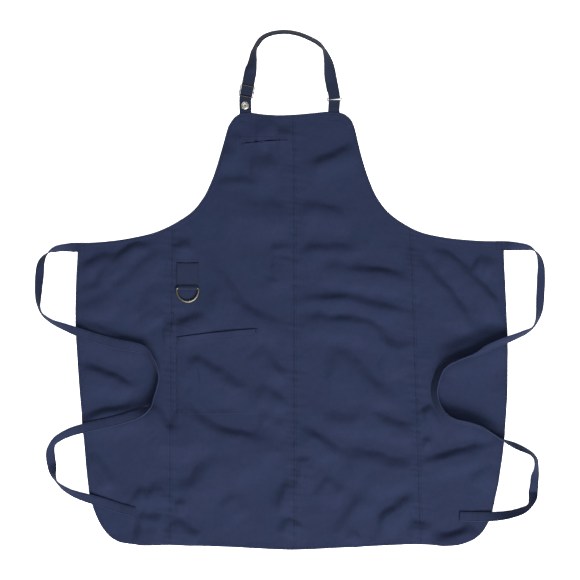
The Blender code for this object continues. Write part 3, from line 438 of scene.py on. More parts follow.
# ------------------------------------------------------------------ meshes
def put(name, verts, faces, material, smooth=True, attributes=None):
    """A mesh from millimetres in the part's layout."""
    mesh = bpy.data.meshes.new(name)
    v = (np.asarray(verts, float) + SHIFT) * 0.001
    mesh.from_pydata(v.tolist(), [], [list(f) for f in faces])
    mesh.validate()
    if smooth:
        mesh.shade_smooth()
    for key, value in (attributes or {}).items():
        value = np.asarray(value, np.float32)
        if value.ndim == 1:
            mesh.attributes.new(key, "FLOAT", "POINT").data.foreach_set("value", value)
        else:
            mesh.attributes.new(key, "FLOAT_VECTOR", "POINT").data.foreach_set("vector", value.ravel())
    mesh.materials.append(material)
    ob = bpy.data.objects.new(name, mesh)
    bpy.context.scene.collection.objects.link(ob)
    return ob


def plane_mesh(loop, holes, extra, step):
    """A triangulated plane region: its loop and holes, rows of extra points, and an even filling."""
    fixed = [resample(loop, 2.4, closed=True)] + [np.asarray(h, float) for h in holes]
    lo, hi = loop.min(0), loop.max(0)
    tree_points = [p for f in fixed for p in f]
    kept = []
    if extra:
        e = np.vstack(extra)
        e = e[inside(e, loop)]
        for h in holes:
            e = e[~inside(e, np.asarray(h))]
        d, _ = distance(e, fixed[0], True)
        e = e[d > 0.25]
        tree = KDTree(len(tree_points))
        for i, p in enumerate(tree_points):
            tree.insert((p[0], p[1], 0), i)
        tree.balance()
        cells = {}
        for p in e:
            if len(fixed) > 1 and tree.find((p[0], p[1], 0))[2] < 0.3:
                continue
            key = (int(p[0] // 1.0), int(p[1] // 1.0))
            near = any((q[0] - p[0]) ** 2 + (q[1] - p[1]) ** 2 < 0.12
                       for a in (-1, 0, 1) for b in (-1, 0, 1) for q in cells.get((key[0] + a, key[1] + b), ()))
            if not near:
                cells.setdefault(key, []).append(p)
                kept.append(p)
    rows = int((hi[1] - lo[1]) / (step * 0.866)) + 1
    cols = int((hi[0] - lo[0]) / step) + 2
    gi, gj = np.meshgrid(np.arange(cols), np.arange(rows), indexing="ij")
    grid = np.stack([(lo[0] + (gi + 0.5 * (gj % 2)) * step).ravel(), (lo[1] + gj * step * 0.866).ravel()], axis=1)
    grid = grid[inside(grid, loop)]
    for h in holes:
        grid = grid[~inside(grid, np.asarray(h))]
    anchor = tree_points + kept
    tree = KDTree(len(anchor))
    for i, p in enumerate(anchor):
        tree.insert((p[0], p[1], 0), i)
    tree.balance()
    grid = np.array([g for g in grid if tree.find((g[0], g[1], 0))[2] > 0.62 * step])
    points = np.vstack([np.array(anchor), grid.reshape(-1, 2)])
    edges, start = [], 0
    for f in fixed:
        edges += [(start + i, start + (i + 1) % len(f)) for i in range(len(f))]
        start += len(f)
    v, _, tris, _, _, _ = delaunay_2d_cdt([Vector(p) for p in points], edges, [], 1, 1e-5)
    v = np.array([tuple(p) for p in v])
    tris = np.array([t for t in tris if len(t) == 3])
    mid = v[tris].mean(1)
    keep = inside(mid, fixed[0])
    for h in fixed[1:]:
        keep &= ~inside(mid, h)
    tris = tris[keep]
    a, b, c = v[tris[:, 0]], v[tris[:, 1]], v[tris[:, 2]]
    area = (b[:, 0] - a[:, 0]) * (c[:, 1] - a[:, 1]) - (b[:, 1] - a[:, 1]) * (c[:, 0] - a[:, 0])
    tris[area < 0] = tris[area < 0][:, ::-1]
    tris = tris[np.abs(area) > 1e-6]
    return v, tris


def cloth(name, loop, top, thick, material, holes=(), extra=(), step=3.2, wear_and_crest_highlight=None, skirt=None):
    """A sheet of cloth: its plan, the height of its upper face, and its thickness below that.
    skirt(x, y) gives how far the underside hangs down at the rim, where an edge is folded over."""
    v, tris = plane_mesh(np.asarray(loop, float), holes, list(extra), step)
    z = top(v[:, 0], v[:, 1])
    low = z - thick
    count = {}
    for t in tris:
        for i in range(3):
            e = (t[i], t[(i + 1) % 3])
            count[e] = count.get(e, 0) + 1
    rim = [e for e in count if (e[1], e[0]) not in count]
    if skirt is not None:
        at = np.array(sorted({i for e in rim for i in e}))
        drop = skirt(v[at, 0], v[at, 1])
        low[at] = np.where(np.isnan(drop), low[at], np.minimum(low[at], drop))
    n = len(v)
    verts = np.vstack([np.column_stack([v, z]), np.column_stack([v, low])])
    faces = [tuple(t) for t in tris] + [tuple(t[::-1] + n) for t in tris] + [(b, a, a + n, b + n) for a, b in rim]
    attributes = {}
    if wear_and_crest_highlight is not None:
        w = wear_and_crest_highlight(v[:, 0], v[:, 1])
        # the attribute holds lightening for worn edges and seams, and on the panels also a painted highlight on raised
        # creases
        attributes["wear_and_crest_highlight"] = np.concatenate([w, w * 0.6])
    return put(name, verts, faces, material, attributes=attributes)


def tape(name, points, across, width, thick, material, bow=0.0, edge=1.0, notch=False, curl=0.0):
    """A strip of webbing or folded cloth with soft edges. bow bends it across, curl turns up its right-hand
    edge, and a notch along the edges shows that it is folded."""
    p, a = np.asarray(points, float), np.asarray(across, float)
    a = a / np.linalg.norm(a, axis=1, keepdims=True)
    t = tangents(p)
    n = np.cross(t, a)
    n /= np.linalg.norm(n, axis=1, keepdims=True)
    w = np.broadcast_to(np.asarray(width, float), (len(p),)) / 2
    bow = np.broadcast_to(np.asarray(bow, float), (len(p),))
    thick = np.broadcast_to(np.asarray(thick, float).reshape(-1), (len(p),))
    curl = np.broadcast_to(np.asarray(curl, float), (len(p),))
    us = np.array((-0.94 if notch else -1, -1, -0.985, -0.90, -0.78, -0.66, -0.33, 0, 0.33, 0.66, 0.78, 0.90, 0.985, 1, 0.94 if notch else 1))
    tall = np.array((0.0, 0.45, 0.80, 1.0 * edge, 0.84, 1.0, 1.0, 1.0, 1.0, 1.0, 0.84, 1.0 * edge, 0.80, 0.45, 0.0))
    ring = [(u, h) for u, h in zip(us, tall)] + [(u, -h) for u, h in zip(us[-2:0:-1], tall[-2:0:-1])]
    m = len(ring)
    verts, tape_uv = [], []
    s = lengths(p)
    for i in range(len(p)):
        for u, h in ring:
            verts.append(p[i] + a[i] * (u * w[i]) + n[i] * (h * thick[i] / 2 + bow[i] * (u * u - 0.4) + curl[i] * max(-u, 0.0) ** 2.4))
            tape_uv.append((u * w[i], s[i], 1.0 if h >= 0 else -1.0))
    faces = [(i * m + k, i * m + (k + 1) % m, (i + 1) * m + (k + 1) % m, (i + 1) * m + k)
             for i in range(len(p) - 1) for k in range(m)]
    half = len(us)
    for i, flip in ((0, False), (len(p) - 1, True)):
        for k in range(half - 1):        # end caps, from edge to edge
            top0, top1 = k, k + 1
            bot0, bot1 = (m - k) % m, (m - k - 1) % m
            q = [i * m + top0, i * m + top1, i * m + bot1, i * m + bot0]
            q = list(dict.fromkeys(q))
            if len(q) >= 3:
                faces.append(tuple(q if flip else q[::-1]))
    ob = put(name, verts, faces, material, attributes={"tape": tape_uv})
    import_fix(ob)
    return ob


def import_fix(ob):
    """Turns the faces outwards."""
    import bmesh
    bm = bmesh.new()
    bm.from_mesh(ob.data)
    bmesh.ops.recalc_face_normals(bm, faces=bm.faces)
    bm.to_mesh(ob.data)
    bm.free()


def stitches(name, rows, material, length=2.5, pitch=3.3, radius=0.27):
    """Rows of separate stitches. Each row is points and normals along a seam."""
    pos, tan, nor = [], [], []
    for points, normals in rows:
        points = np.asarray(points, float)
        s = lengths(points)
        n = max(1, int(s[-1] / pitch))
        at = (np.arange(n) + 0.5) * s[-1] / n
        q = np.stack([np.interp(at, s, points[:, k]) for k in range(3)], axis=1)
        ahead = np.stack([np.interp(np.minimum(at + 0.8, s[-1]), s, points[:, k]) for k in range(3)], axis=1)
        behind = np.stack([np.interp(np.maximum(at - 0.8, 0), s, points[:, k]) for k in range(3)], axis=1)
        d = ahead - behind
        nn = np.stack([np.interp(at, s, np.asarray(normals, float)[:, k]) for k in range(3)], axis=1)
        pos.append(q), tan.append(d / np.linalg.norm(d, axis=1, keepdims=True)), nor.append(nn)
    pos, tan, nor = np.vstack(pos), np.vstack(tan), np.vstack(nor)
    nor = nor - tan * (nor * tan).sum(1, keepdims=True)
    nor /= np.linalg.norm(nor, axis=1, keepdims=True)
    side = np.cross(tan, nor)
    k = 5
    ring = [(math.cos(2 * math.pi * i / k), math.sin(2 * math.pi * i / k)) for i in range(k)]
    verts = []
    for along, r, dip in ((-0.5, 0.35, -0.5), (-0.30, 1.0, 0.0), (0.30, 1.0, 0.0), (0.5, 0.35, -0.5)):
        for c, h in ring:
            verts.append(pos + tan * (along * length) + side * (c * r * radius) + nor * (h * r * radius * 0.8 + dip * radius))
    verts = np.stack(verts, axis=1)          # stitch, vertex, xyz
    each = verts.shape[1]
    quads = [(a * k + i, a * k + (i + 1) % k, (a + 1) * k + (i + 1) % k, (a + 1) * k + i) for a in range(3) for i in range(k)]
    caps = [tuple(range(k))[::-1], tuple(range(3 * k, 4 * k))]
    faces = []
    for b in range(len(pos)):
        faces += [tuple(b * each + j for j in f) for f in quads + caps]
    ob = put(name, verts.reshape(-1, 3), faces, material)
    import_fix(ob)
    return ob


def flat_row(points, height, lift=0.10):
    """A stitch row on the cloth: plan points and the height of the face they lie on."""
    p = resample(points, 2.0)
    z = height(p[:, 0], p[:, 1]) + lift
    n = np.tile((0.0, 0.0, 1.0), (len(p), 1))
    return np.column_stack([p, z]), n

# ------------------------------------------------------------------ finishes
def shader(name):
    m = bpy.data.materials.new(name)
    m.use_nodes = True
    return m, m.node_tree, m.node_tree.nodes["Principled BSDF"]


def node(nt, kind, **values):
    n = nt.nodes.new(kind)
    for key, value in values.items():
        if hasattr(n, key) and not key[0].isupper():
            setattr(n, key, value)
    return n


def sockets(nt, n, pairs):
    for key, value in pairs:
        if isinstance(value, bpy.types.NodeSocket):
            nt.links.new(value, n.inputs[key])
        else:
            n.inputs[key].default_value = value
    return n


def maths(nt, operation, *values, clamp=False):
    n = node(nt, "ShaderNodeMath", operation=operation, use_clamp=clamp)
    sockets(nt, n, list(enumerate(values)))
    return n.outputs[0]


def blend_colour(nt, kind, factor, a, b):
    n = nt.nodes.new("ShaderNodeMix")
    n.data_type, n.blend_type = "RGBA", kind
    n.clamp_factor = True
    sockets(nt, n, [(0, factor), (6, a), (7, b)])
    return n.outputs[2]


def in_millimetres(nt):
    at = node(nt, "ShaderNodeTexCoord").outputs["Object"]
    return sockets(nt, node(nt, "ShaderNodeMapping"), [("Vector", at), ("Scale", (1000, 1000, 1000))]).outputs[0]


def mottle(nt, at, size, detail=2.0, rough=0.5):
    return sockets(nt, node(nt, "ShaderNodeTexNoise"), [("Vector", at), ("Scale", 1.0 / size), ("Detail", detail), ("Roughness", rough)]).outputs["Fac"]


def span(nt, value, lo, hi, a, b):
    return sockets(nt, node(nt, "ShaderNodeMapRange"), [("Value", value), ("From Min", lo), ("From Max", hi), ("To Min", a), ("To Max", b)]).outputs[0]


def waves(nt, at, direction, pitch, shift=None):
    """A sine along a direction, 0 to 1, repeating at a pitch in millimetres."""
    d = node(nt, "ShaderNodeVectorMath", operation="DOT_PRODUCT")
    sockets(nt, d, [(0, at), (1, direction)])
    v = maths(nt, "MULTIPLY", d.outputs["Value"], 2 * math.pi / pitch)
    if shift is not None:
        v = maths(nt, "ADD", v, shift)
    return maths(nt, "MULTIPLY_ADD", maths(nt, "SINE", v), 0.5, 0.5)


def twill(name, dark, mid, light, rib=1.05, rough=(0.84, 0.96), sheen=0.02, attribute=None, tape=False, bump=0.55):
    """Cotton twill: a diagonal rib, crossing yarns, uneven dye, and a lighter colour from an attribute that holds
    cloth worn where it is folded and a painted highlight on raised creases.
    """
    m, nt, b = shader(name)
    at = in_millimetres(nt)
    if tape:
        at = sockets(nt, node(nt, "ShaderNodeMapping"), [("Vector", node(nt, "ShaderNodeAttribute", attribute_name="tape").outputs["Vector"])]).outputs[0]
    wobble = maths(nt, "MULTIPLY", mottle(nt, at, 3.0), 2.2)
    c, s = math.cos(math.radians(58)), math.sin(math.radians(58))
    ribs = waves(nt, at, (s, -c, 0.0), rib, wobble)
    yarn = waves(nt, at, (0.15, 1.0, 0.3), rib * 0.62, wobble)
    weft = waves(nt, at, (1.0, 0.12, 0.3), rib * 0.74)
    weave = maths(nt, "MULTIPLY_ADD", ribs, 0.62, maths(nt, "MULTIPLY_ADD", yarn, 0.24, maths(nt, "MULTIPLY", weft, 0.14)))
    slub = mottle(nt, at, 1.3, 3.0, 0.6)
    small = mottle(nt, at, 7.0, 4.0, 0.55)
    broad = mottle(nt, at, 70.0, 3.0, 0.5)
    tone = maths(nt, "MULTIPLY_ADD", weave, 0.46, maths(nt, "MULTIPLY_ADD", slub, 0.26, maths(nt, "MULTIPLY", small, 0.28)))
    ramp = node(nt, "ShaderNodeValToRGB")
    e = ramp.color_ramp.elements
    e[0].position, e[0].color = 0.22, (*dark, 1)
    e[1].position, e[1].color = 0.78, (*light, 1)
    e.new(0.5).color = (*mid, 1)
    sockets(nt, ramp, [("Fac", tone)])
    colour = ramp.outputs["Color"]
    cool = blend_colour(nt, "MULTIPLY", span(nt, broad, 0.35, 0.65, 0.0, 1.0), (1.06, 0.97, 1.0, 1), (0.93, 1.05, 1.0, 1))
    colour = blend_colour(nt, "MULTIPLY", 1.0, colour, cool)
    if attribute:
        w = node(nt, "ShaderNodeAttribute", attribute_name=attribute).outputs["Fac"]
        w = maths(nt, "MULTIPLY", w, span(nt, slub, 0.3, 0.7, 0.45, 1.0), clamp=True)
        # lighter colour for worn cloth, and painted highlight where the attribute carries it
        worn = tuple(min(1, 1.5 * x + 0.002) for x in mid)
        colour = blend_colour(nt, "MIX", maths(nt, "MULTIPLY", w, 0.30), colour, (*worn, 1))
    if tape:      # a narrow tape is darker along its stitching and rubbed lighter at its folded edges
        x = node(nt, "ShaderNodeSeparateXYZ")
        sockets(nt, x, [(0, at)])
        off = maths(nt, "ABSOLUTE", x.outputs[0])
        row = maths(nt, "MULTIPLY", span(nt, off, TIE_W / 2 - 3.0, TIE_W / 2 - 2.1, 0.0, 1.0), span(nt, off, TIE_W / 2 - 2.1, TIE_W / 2 - 1.3, 1.0, 0.0))
        colour = blend_colour(nt, "MIX", maths(nt, "MULTIPLY", row, 0.40), colour, (*tuple(0.5 * x for x in dark), 1))
        rubbed = span(nt, off, TIE_W / 2 - 1.2, TIE_W / 2 - 0.3, 0.0, 0.6)
        colour = blend_colour(nt, "MIX", rubbed, colour, (*tuple(1.7 * x for x in light), 1))
    nt.links.new(colour, b.inputs["Base Color"])
    nt.links.new(span(nt, tone, 0.2, 0.8, rough[1], rough[0]), b.inputs["Roughness"])
    b.inputs["Specular IOR Level"].default_value = 0.10
    b.inputs["Sheen Weight"].default_value = sheen
    b.inputs["Sheen Roughness"].default_value = 0.45
    b.inputs["Sheen Tint"].default_value = (0.55, 0.62, 0.85, 1)
    creases = mottle(nt, at, 5.0, 4.0, 0.6)
    first = sockets(nt, node(nt, "ShaderNodeBump"), [("Height", creases), ("Strength", 0.22), ("Distance", 0.0007)])
    second = sockets(nt, node(nt, "ShaderNodeBump"), [("Height", maths(nt, "MULTIPLY_ADD", slub, 0.4, weave)), ("Strength", bump), ("Distance", 0.00022),
                                                      ("Normal", first.outputs[0])])
    nt.links.new(second.outputs[0], b.inputs["Normal"])
    return m


def webbing(name, dark, light, half):
    """Narrow woven webbing: cords that run along it, bound by a fine weft, with a firm edge."""
    m, nt, b = shader(name)
    at = node(nt, "ShaderNodeAttribute", attribute_name="tape").outputs["Vector"]
    x = node(nt, "ShaderNodeSeparateXYZ")
    sockets(nt, x, [(0, at)])
    cords = waves(nt, at, (1.0, 0.0, 0.0), 1.9)
    zig = maths(nt, "MULTIPLY", maths(nt, "PINGPONG", x.outputs[0], 0.95), 1.1)
    weft = maths(nt, "MULTIPLY_ADD", maths(nt, "SINE", maths(nt, "MULTIPLY", maths(nt, "ADD", x.outputs[1], zig), 2 * math.pi / 1.15)), 0.5, 0.5)
    fuzz = mottle(nt, at, 1.1, 3.0, 0.6)
    cloud = mottle(nt, at, 14.0, 3.0)
    tone = maths(nt, "MULTIPLY_ADD", cords, 0.36, maths(nt, "MULTIPLY_ADD", weft, 0.24, maths(nt, "MULTIPLY_ADD", fuzz, 0.2, maths(nt, "MULTIPLY", cloud, 0.2))))
    ramp = node(nt, "ShaderNodeValToRGB")
    e = ramp.color_ramp.elements
    e[0].position, e[0].color = 0.2, (*dark, 1)
    e[1].position, e[1].color = 0.8, (*light, 1)
    sockets(nt, ramp, [("Fac", tone)])
    edge = span(nt, maths(nt, "ABSOLUTE", x.outputs[0]), half - 1.6, half - 0.2, 0.0, 0.45)
    colour = blend_colour(nt, "MIX", maths(nt, "MINIMUM", edge, 0.45, clamp=True), ramp.outputs["Color"], (*tuple(0.6 * v for v in dark), 1))
    nt.links.new(colour, b.inputs["Base Color"])
    nt.links.new(span(nt, tone, 0.2, 0.8, 0.9, 0.68), b.inputs["Roughness"])
    b.inputs["Specular IOR Level"].default_value = 0.10
    b.inputs["Sheen Weight"].default_value = 0.015
    b.inputs["Sheen Tint"].default_value = (0.6, 0.65, 0.8, 1)
    height = maths(nt, "MULTIPLY_ADD", cords, 0.7, maths(nt, "MULTIPLY", weft, 0.3))
    bump = sockets(nt, node(nt, "ShaderNodeBump"), [("Height", height), ("Strength", 0.7), ("Distance", 0.0003)])
    nt.links.new(bump.outputs[0], b.inputs["Normal"])
    return m


def thread(name, colour):
    """Twisted sewing thread."""
    m, nt, b = shader(name)
    at = in_millimetres(nt)
    ply = waves(nt, at, (1.0, 0.9, 0.4), 0.34)
    tone = maths(nt, "MULTIPLY_ADD", ply, 0.5, maths(nt, "MULTIPLY", mottle(nt, at, 4.0), 0.5))
    ramp = node(nt, "ShaderNodeValToRGB")
    e = ramp.color_ramp.elements
    e[0].position, e[0].color = 0.2, (*tuple(0.62 * v for v in colour), 1)
    e[1].position, e[1].color = 0.8, (*tuple(1.25 * v for v in colour), 1)
    sockets(nt, ramp, [("Fac", tone)])
    nt.links.new(ramp.outputs["Color"], b.inputs["Base Color"])
    nt.links.new(span(nt, ply, 0.0, 1.0, 0.62, 0.42), b.inputs["Roughness"])
    b.inputs["Sheen Weight"].default_value = 0.02
    b.inputs["Specular IOR Level"].default_value = 0.1
    bump = sockets(nt, node(nt, "ShaderNodeBump"), [("Height", ply), ("Strength", 0.5), ("Distance", 0.0001)])
    nt.links.new(bump.outputs[0], b.inputs["Normal"])
    return m


def metal(name, clean, worn, rough=(0.24, 0.46), patina=0.5, size=6.0, grain=0.0, rings=None):
    """Plated metal: bright where it is rubbed, dull and darker where it isn't, finely scratched.
    rings: the middle of a stamped ring and dimple, which are darkened as painted shade."""
    m, nt, b = shader(name)
    at = in_millimetres(nt)
    spots = mottle(nt, at, size, 5.0, 0.62)
    fine = mottle(nt, at, 0.6, 3.0, 0.6)
    stretched = sockets(nt, node(nt, "ShaderNodeMapping"), [("Vector", at), ("Scale", (0.3, 5.0, 5.0))]).outputs[0]
    scratch = mottle(nt, stretched, 1.0, 4.0, 0.7)
    keep = span(nt, maths(nt, "MULTIPLY_ADD", fine, 0.3, maths(nt, "MULTIPLY", spots, 0.7)), 0.5 - 0.5 * patina * 0.5, 0.5 + 0.28, 0.0, 1.0)
    colour = blend_colour(nt, "MIX", maths(nt, "MINIMUM", maths(nt, "MAXIMUM", keep, 0.0), 1.0), (*clean, 1), (*worn, 1))
    pressed_shade = None
    if rings is not None:
        apart = sockets(nt, node(nt, "ShaderNodeVectorMath", operation="SUBTRACT"), [(0, at), (1, (rings[0], rings[1], 0.0))]).outputs[0]
        flat = sockets(nt, node(nt, "ShaderNodeMapping"), [("Vector", apart), ("Scale", (1, 1, 0))]).outputs[0]
        far = sockets(nt, node(nt, "ShaderNodeVectorMath", operation="LENGTH"), [(0, flat)]).outputs["Value"]
        dimple = span(nt, far, 1.3, 2.5, 1.0, 0.0)
        groove = maths(nt, "MULTIPLY", span(nt, far, 4.3, 4.8, 0.0, 1.0), span(nt, far, 5.3, 5.9, 1.0, 0.0))
        pressed_shade = maths(nt, "MAXIMUM", dimple, maths(nt, "MULTIPLY", groove, 0.8))
        # painted shade: the dimple and the groove of the ring are darkened as if in shadow
        colour = blend_colour(nt, "MIX", maths(nt, "MULTIPLY", pressed_shade, 0.85), colour, (*tuple(0.16 * v for v in worn), 1))
    nt.links.new(colour, b.inputs["Base Color"])
    b.inputs["Metallic"].default_value = 1.0
    r = maths(nt, "MULTIPLY_ADD", span(nt, scratch, 0.3, 0.7, 0.0, 1.0), 0.35, maths(nt, "MULTIPLY", keep, 0.65))
    nt.links.new(span(nt, r, 0.0, 1.0, rough[0], rough[1]), b.inputs["Roughness"])
    bump = sockets(nt, node(nt, "ShaderNodeBump"), [("Height", maths(nt, "MULTIPLY_ADD", fine, 0.5, scratch)), ("Strength", 0.25 + grain), ("Distance", 0.00012)])
    nt.links.new(bump.outputs[0], b.inputs["Normal"])
    return m


TWILL = twill("navy_twill", (0.00496, 0.00806, 0.02271), (0.00775, 0.01193, 0.03097), (0.01085, 0.01612, 0.03888), attribute="wear_and_crest_highlight")
BACK = twill("navy_twill_inside", (0.00651, 0.00967, 0.02478), (0.00992, 0.01419, 0.03303), (0.01364, 0.01870, 0.04060), attribute="wear_and_crest_highlight")
TIE = twill("tie_twill", (0.00465, 0.00761, 0.02133), (0.00744, 0.01128, 0.02925), (0.01054, 0.01548, 0.03716), rib=0.9, tape=True)
WEB = webbing("neck_webbing", (0.00310, 0.00516, 0.01514), (0.00930, 0.01322, 0.02890), NECK_W / 2)
TAB = webbing("tab_webbing", (0.00310, 0.00516, 0.01514), (0.00930, 0.01322, 0.02890), TAB_W / 2)
THREAD = thread("navy_thread", (0.00353, 0.00522, 0.01280))
BRASS = metal("antique_brass", (0.20, 0.185, 0.135), (0.055, 0.052, 0.042), (0.26, 0.46), 0.7, 7.0)
NICKEL = metal("satin_nickel", (0.42, 0.41, 0.36), (0.20, 0.195, 0.17), (0.24, 0.42), 0.5, 4.0)
DARK = metal("dark_wire", (0.075, 0.064, 0.045), (0.018, 0.016, 0.014), (0.28, 0.5), 0.6, 3.0)

# ------------------------------------------------------------------ seams, edges, worn lightening and painted crest highlight of the panels
SEAMS = ((seam_l, 21), (centre, 22), (seam_r, 23))
FELL = 6.6            # width of the felled seam
EDGE_R = 1.1


def edge_of(x, y):
    p = np.stack([x, y], axis=1)
    return distance(p, outer, True)[0]


def stitch_in(y):
    """How far in from the rim the hem is stitched."""
    return 4.7 + 1.5 * smoothstep(-440, -490, y)


def relief(x, y, e):
    """Seams and turned edges on the upper face, apart from which panel lies over which."""
    z = np.zeros_like(x)
    at = stitch_in(y)
    z += 0.42 * (smoothstep(at + 4.5, at + 1.2, e) - 1)                    # the body of the cloth lies lower than its hem
    z -= 0.55 * np.exp(-((e - at) / 0.8) ** 2)                            # stitched groove
    z += 0.14 * np.exp(-((e - at * 0.5) / 1.4) ** 2)
    for seam, seed in SEAMS:
        dx = x - seam_x(seam, y)
        near = np.abs(dx) < 34
        d = np.where(near, dx, 99.0)
        z += 0.50 * (smoothstep(-6, -1.5, d) * (d <= 0) + (d > 0) * (1 - smoothstep(FELL - 0.4, FELL + 1.6, d)))
        for row in (1.5, FELL - 1.3):
            z -= 0.62 * np.exp(-((d - row) / 0.75) ** 2)
        pucker = noise(y + 0.15 * x, 0.10 * x, 8.5, seed) + 0.9 * noise(y, 0.07 * x, 19.0, seed + 30)
        z += 0.90 * pucker * np.exp(-(np.abs(d - 2.5) / 20.0) ** 1.5)
    pucker = noise(x + 2 * y, y - 2 * x, 9.0, 71)
    z += 0.40 * pucker * np.exp(-((e - at) / 9.0) ** 2)
    r = np.clip(e, 0, EDGE_R)
    z -= 0.95 * (EDGE_R - np.sqrt(np.maximum(EDGE_R ** 2 - (EDGE_R - r) ** 2, 0)))
    return z


def wear_and_crest_highlight(x, y):
    e = edge_of(x, y)
    w = 0.42 * np.exp(-(e / 1.6) ** 2) + 0.12 * np.exp(-((e - stitch_in(y) * 0.55) / 1.5) ** 2)
    for seam, _ in SEAMS:
        d = x - seam_x(seam, y)
        w = w + 0.05 * np.exp(-((d - 0.5) / 0.6) ** 2) + 0.08 * np.exp(-((d - FELL * 0.5) / 1.6) ** 2)
    high = lie(x, y)
    # painted highlight: where the cloth lies higher, on the crests of its creases, it is made lighter as if lit
    w = w + 0.10 * smoothstep(1.2, 3.6, high)
    return np.clip(w, 0, 1)


def panel_top(under=None, over=None):
    """Upper face of a panel. under: the seam at its right, where it passes beneath its neighbour.
    over: the seam at its left, where its folded edge lies on its neighbour."""
    def top(x, y):
        e = edge_of(x, y)
        z = BASE + lie(x, y) + relief(x, y, e)
        if under is not None:
            d = x - seam_x(under, y)
            z = z - 1.15 * smoothstep(-1.3, 0.1, d)
        if over is not None:
            d = np.maximum(x - seam_x(over, y), 0)
            r = np.clip(d, 0, 0.8)
            z = z - 0.8 * (0.8 - np.sqrt(np.maximum(0.64 - (0.8 - r) ** 2, 0)))
        return np.maximum(z, 0.75)
    return top


def skirt(x, y):
    """The panel's rim is turned down round the hem behind it."""
    e = edge_of(x, y)
    return np.where(e < 0.3, 0.28 + np.maximum(lie(x, y), 0) * 0.9, np.nan)


def seam_rows(seam, offsets):
    line = resample(seam, 2.2)
    return [line + np.array((dx, 0.0)) for dx in offsets]


edge_rows = [offset(np.vstack([outer, outer[:1]]), d) for d in (0.35, 0.8, 1.5, 2.4, 3.4, 4.1, 4.7, 5.4, 6.2, 7.2, 8.6, 10.4)]
edge_rows = [resample(r, 2.3) for r in edge_rows]
RIGHT_OF = (0.35, 0.8, 1.5, 2.2, 3.3, 4.4, 5.3, 6.0, 6.9, 8.2, 10.2)
LEFT_OF = (-10.0, -7.0, -4.6, -2.6, -1.3, -0.6, 0.1, 2.5, 5.0)

SLITS = (((-93.0, 294.2), (-60.0, 297.2)), ((-54.6, 297.8), (-22.4, 300.2)), ((-19.6, 300.4), (-4.4, 300.2)))


def slit_hole(a, b):
    a, b = np.array(a, float), np.array(b, float)
    open_ = 2.0 if a[0] < -80 else 1.3 if a[0] < -30 else 0.25
    d = (b - a) / np.linalg.norm(b - a)
    n = np.array((-d[1], d[0]))
    t = np.linspace(0, 1, 13)
    up = [a + (b - a) * k + n * (open_ * max(math.sin(math.pi * k), 0) ** 0.6 + 0.05) for k in t]
    down = [a + (b - a) * k - n * (0.35 * max(math.sin(math.pi * k), 0) ** 0.6 + 0.05) for k in t]
    return np.array(up + down[::-1])


whole = outer
right_l = cut(whole, seam_l, 1, 0.0)
right_c = cut(whole, centre, 1, 0.0)
loops = {
    "side_panel_left": cut(whole, seam_l, -1, FELL),
    "front_panel_left": cut(right_l, centre, -1, FELL),
    "front_panel_right": cut(right_c, seam_r, -1, FELL),
    "side_panel_right": cut(whole, seam_r, 1, 0.0),
}
tops = {
    "side_panel_left": panel_top(under=seam_l), "front_panel_left": panel_top(under=centre, over=seam_l),
    "front_panel_right": panel_top(under=seam_r, over=centre), "side_panel_right": panel_top(over=seam_r),
}
extras = {
    "side_panel_left": edge_rows + seam_rows(seam_l, LEFT_OF),
    "front_panel_left": edge_rows + seam_rows(seam_l, RIGHT_OF) + seam_rows(centre, LEFT_OF),
    "front_panel_right": edge_rows + seam_rows(centre, RIGHT_OF) + seam_rows(seam_r, LEFT_OF),
    "side_panel_right": edge_rows + seam_rows(seam_r, RIGHT_OF),
}
slit_rows = []
for a, b in SLITS:
    a, b = np.array(a), np.array(b)
    d = (b - a) / np.linalg.norm(b - a)
    n = np.array((-d[1], d[0]))
    for k in (-3.4, -2.2, -1.2, 1.7, 2.6, 4.0, 5.5):
        slit_rows.append(resample(np.array([a + n * k - d * 2, b + n * k + d * 2]), 1.8))


def slit_lift(x, y):
    """The upper lip of each pen opening stands a little proud, and the lower one sinks."""
    z = np.zeros_like(x)
    for a, b in SLITS:
        a, b = np.array(a), np.array(b)
        l = np.linalg.norm(b - a)
        d = (b - a) / l
        u = ((x - a[0]) * d[0] + (y - a[1]) * d[1]) / l
        v = -(x - a[0]) * d[1] + (y - a[1]) * d[0]
        m = np.clip(1 - (2 * u - 1) ** 4, 0, 1)
        z += m * (0.75 * np.exp(-((v - 2.2) / 2.0) ** 2) * (v > 0) - 0.35 * np.exp(-((v + 0.5) / 1.6) ** 2) * (v <= 0))
    return z


def front_left_top(x, y):
    return tops["front_panel_left"](x, y) + slit_lift(x, y)


def clothe(name, loop, top, thick, holes=(), extra=(), step=3.2, material=None, hang=None, use_wear_and_crest_highlight=True):
    ob = cloth(name, loop, top, thick, material or TWILL, holes, extra, step, wear_and_crest_highlight if use_wear_and_crest_highlight else None, hang)
    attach(ob, "apron")
    return ob


QUICK_STEP = 3.2
for name in loops:
    holes = [slit_hole(a, b) for a, b in SLITS] if name == "front_panel_left" else []
    ob = clothe(name + "_cloth", loops[name], front_left_top if name == "front_panel_left" else tops[name], 0.6,
                holes, extras[name] + (slit_rows if name == "front_panel_left" else []), QUICK_STEP, hang=skirt)
    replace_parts(ob, name)


def under_top(gap, thick):
    """A layer behind the panels follows them."""
    return lambda x, y: np.maximum(BASE - 0.6 - gap + np.maximum(lie(x, y), -0.1) * 0.95, thick + 0.15)


def strip_loop(curve, a, b):
    p, q = offset(curve, a), offset(curve, b)
    return np.vstack([p, q[::-1]])


def part_of(curve, keep):
    return np.array([p for p in curve if keep(p)])


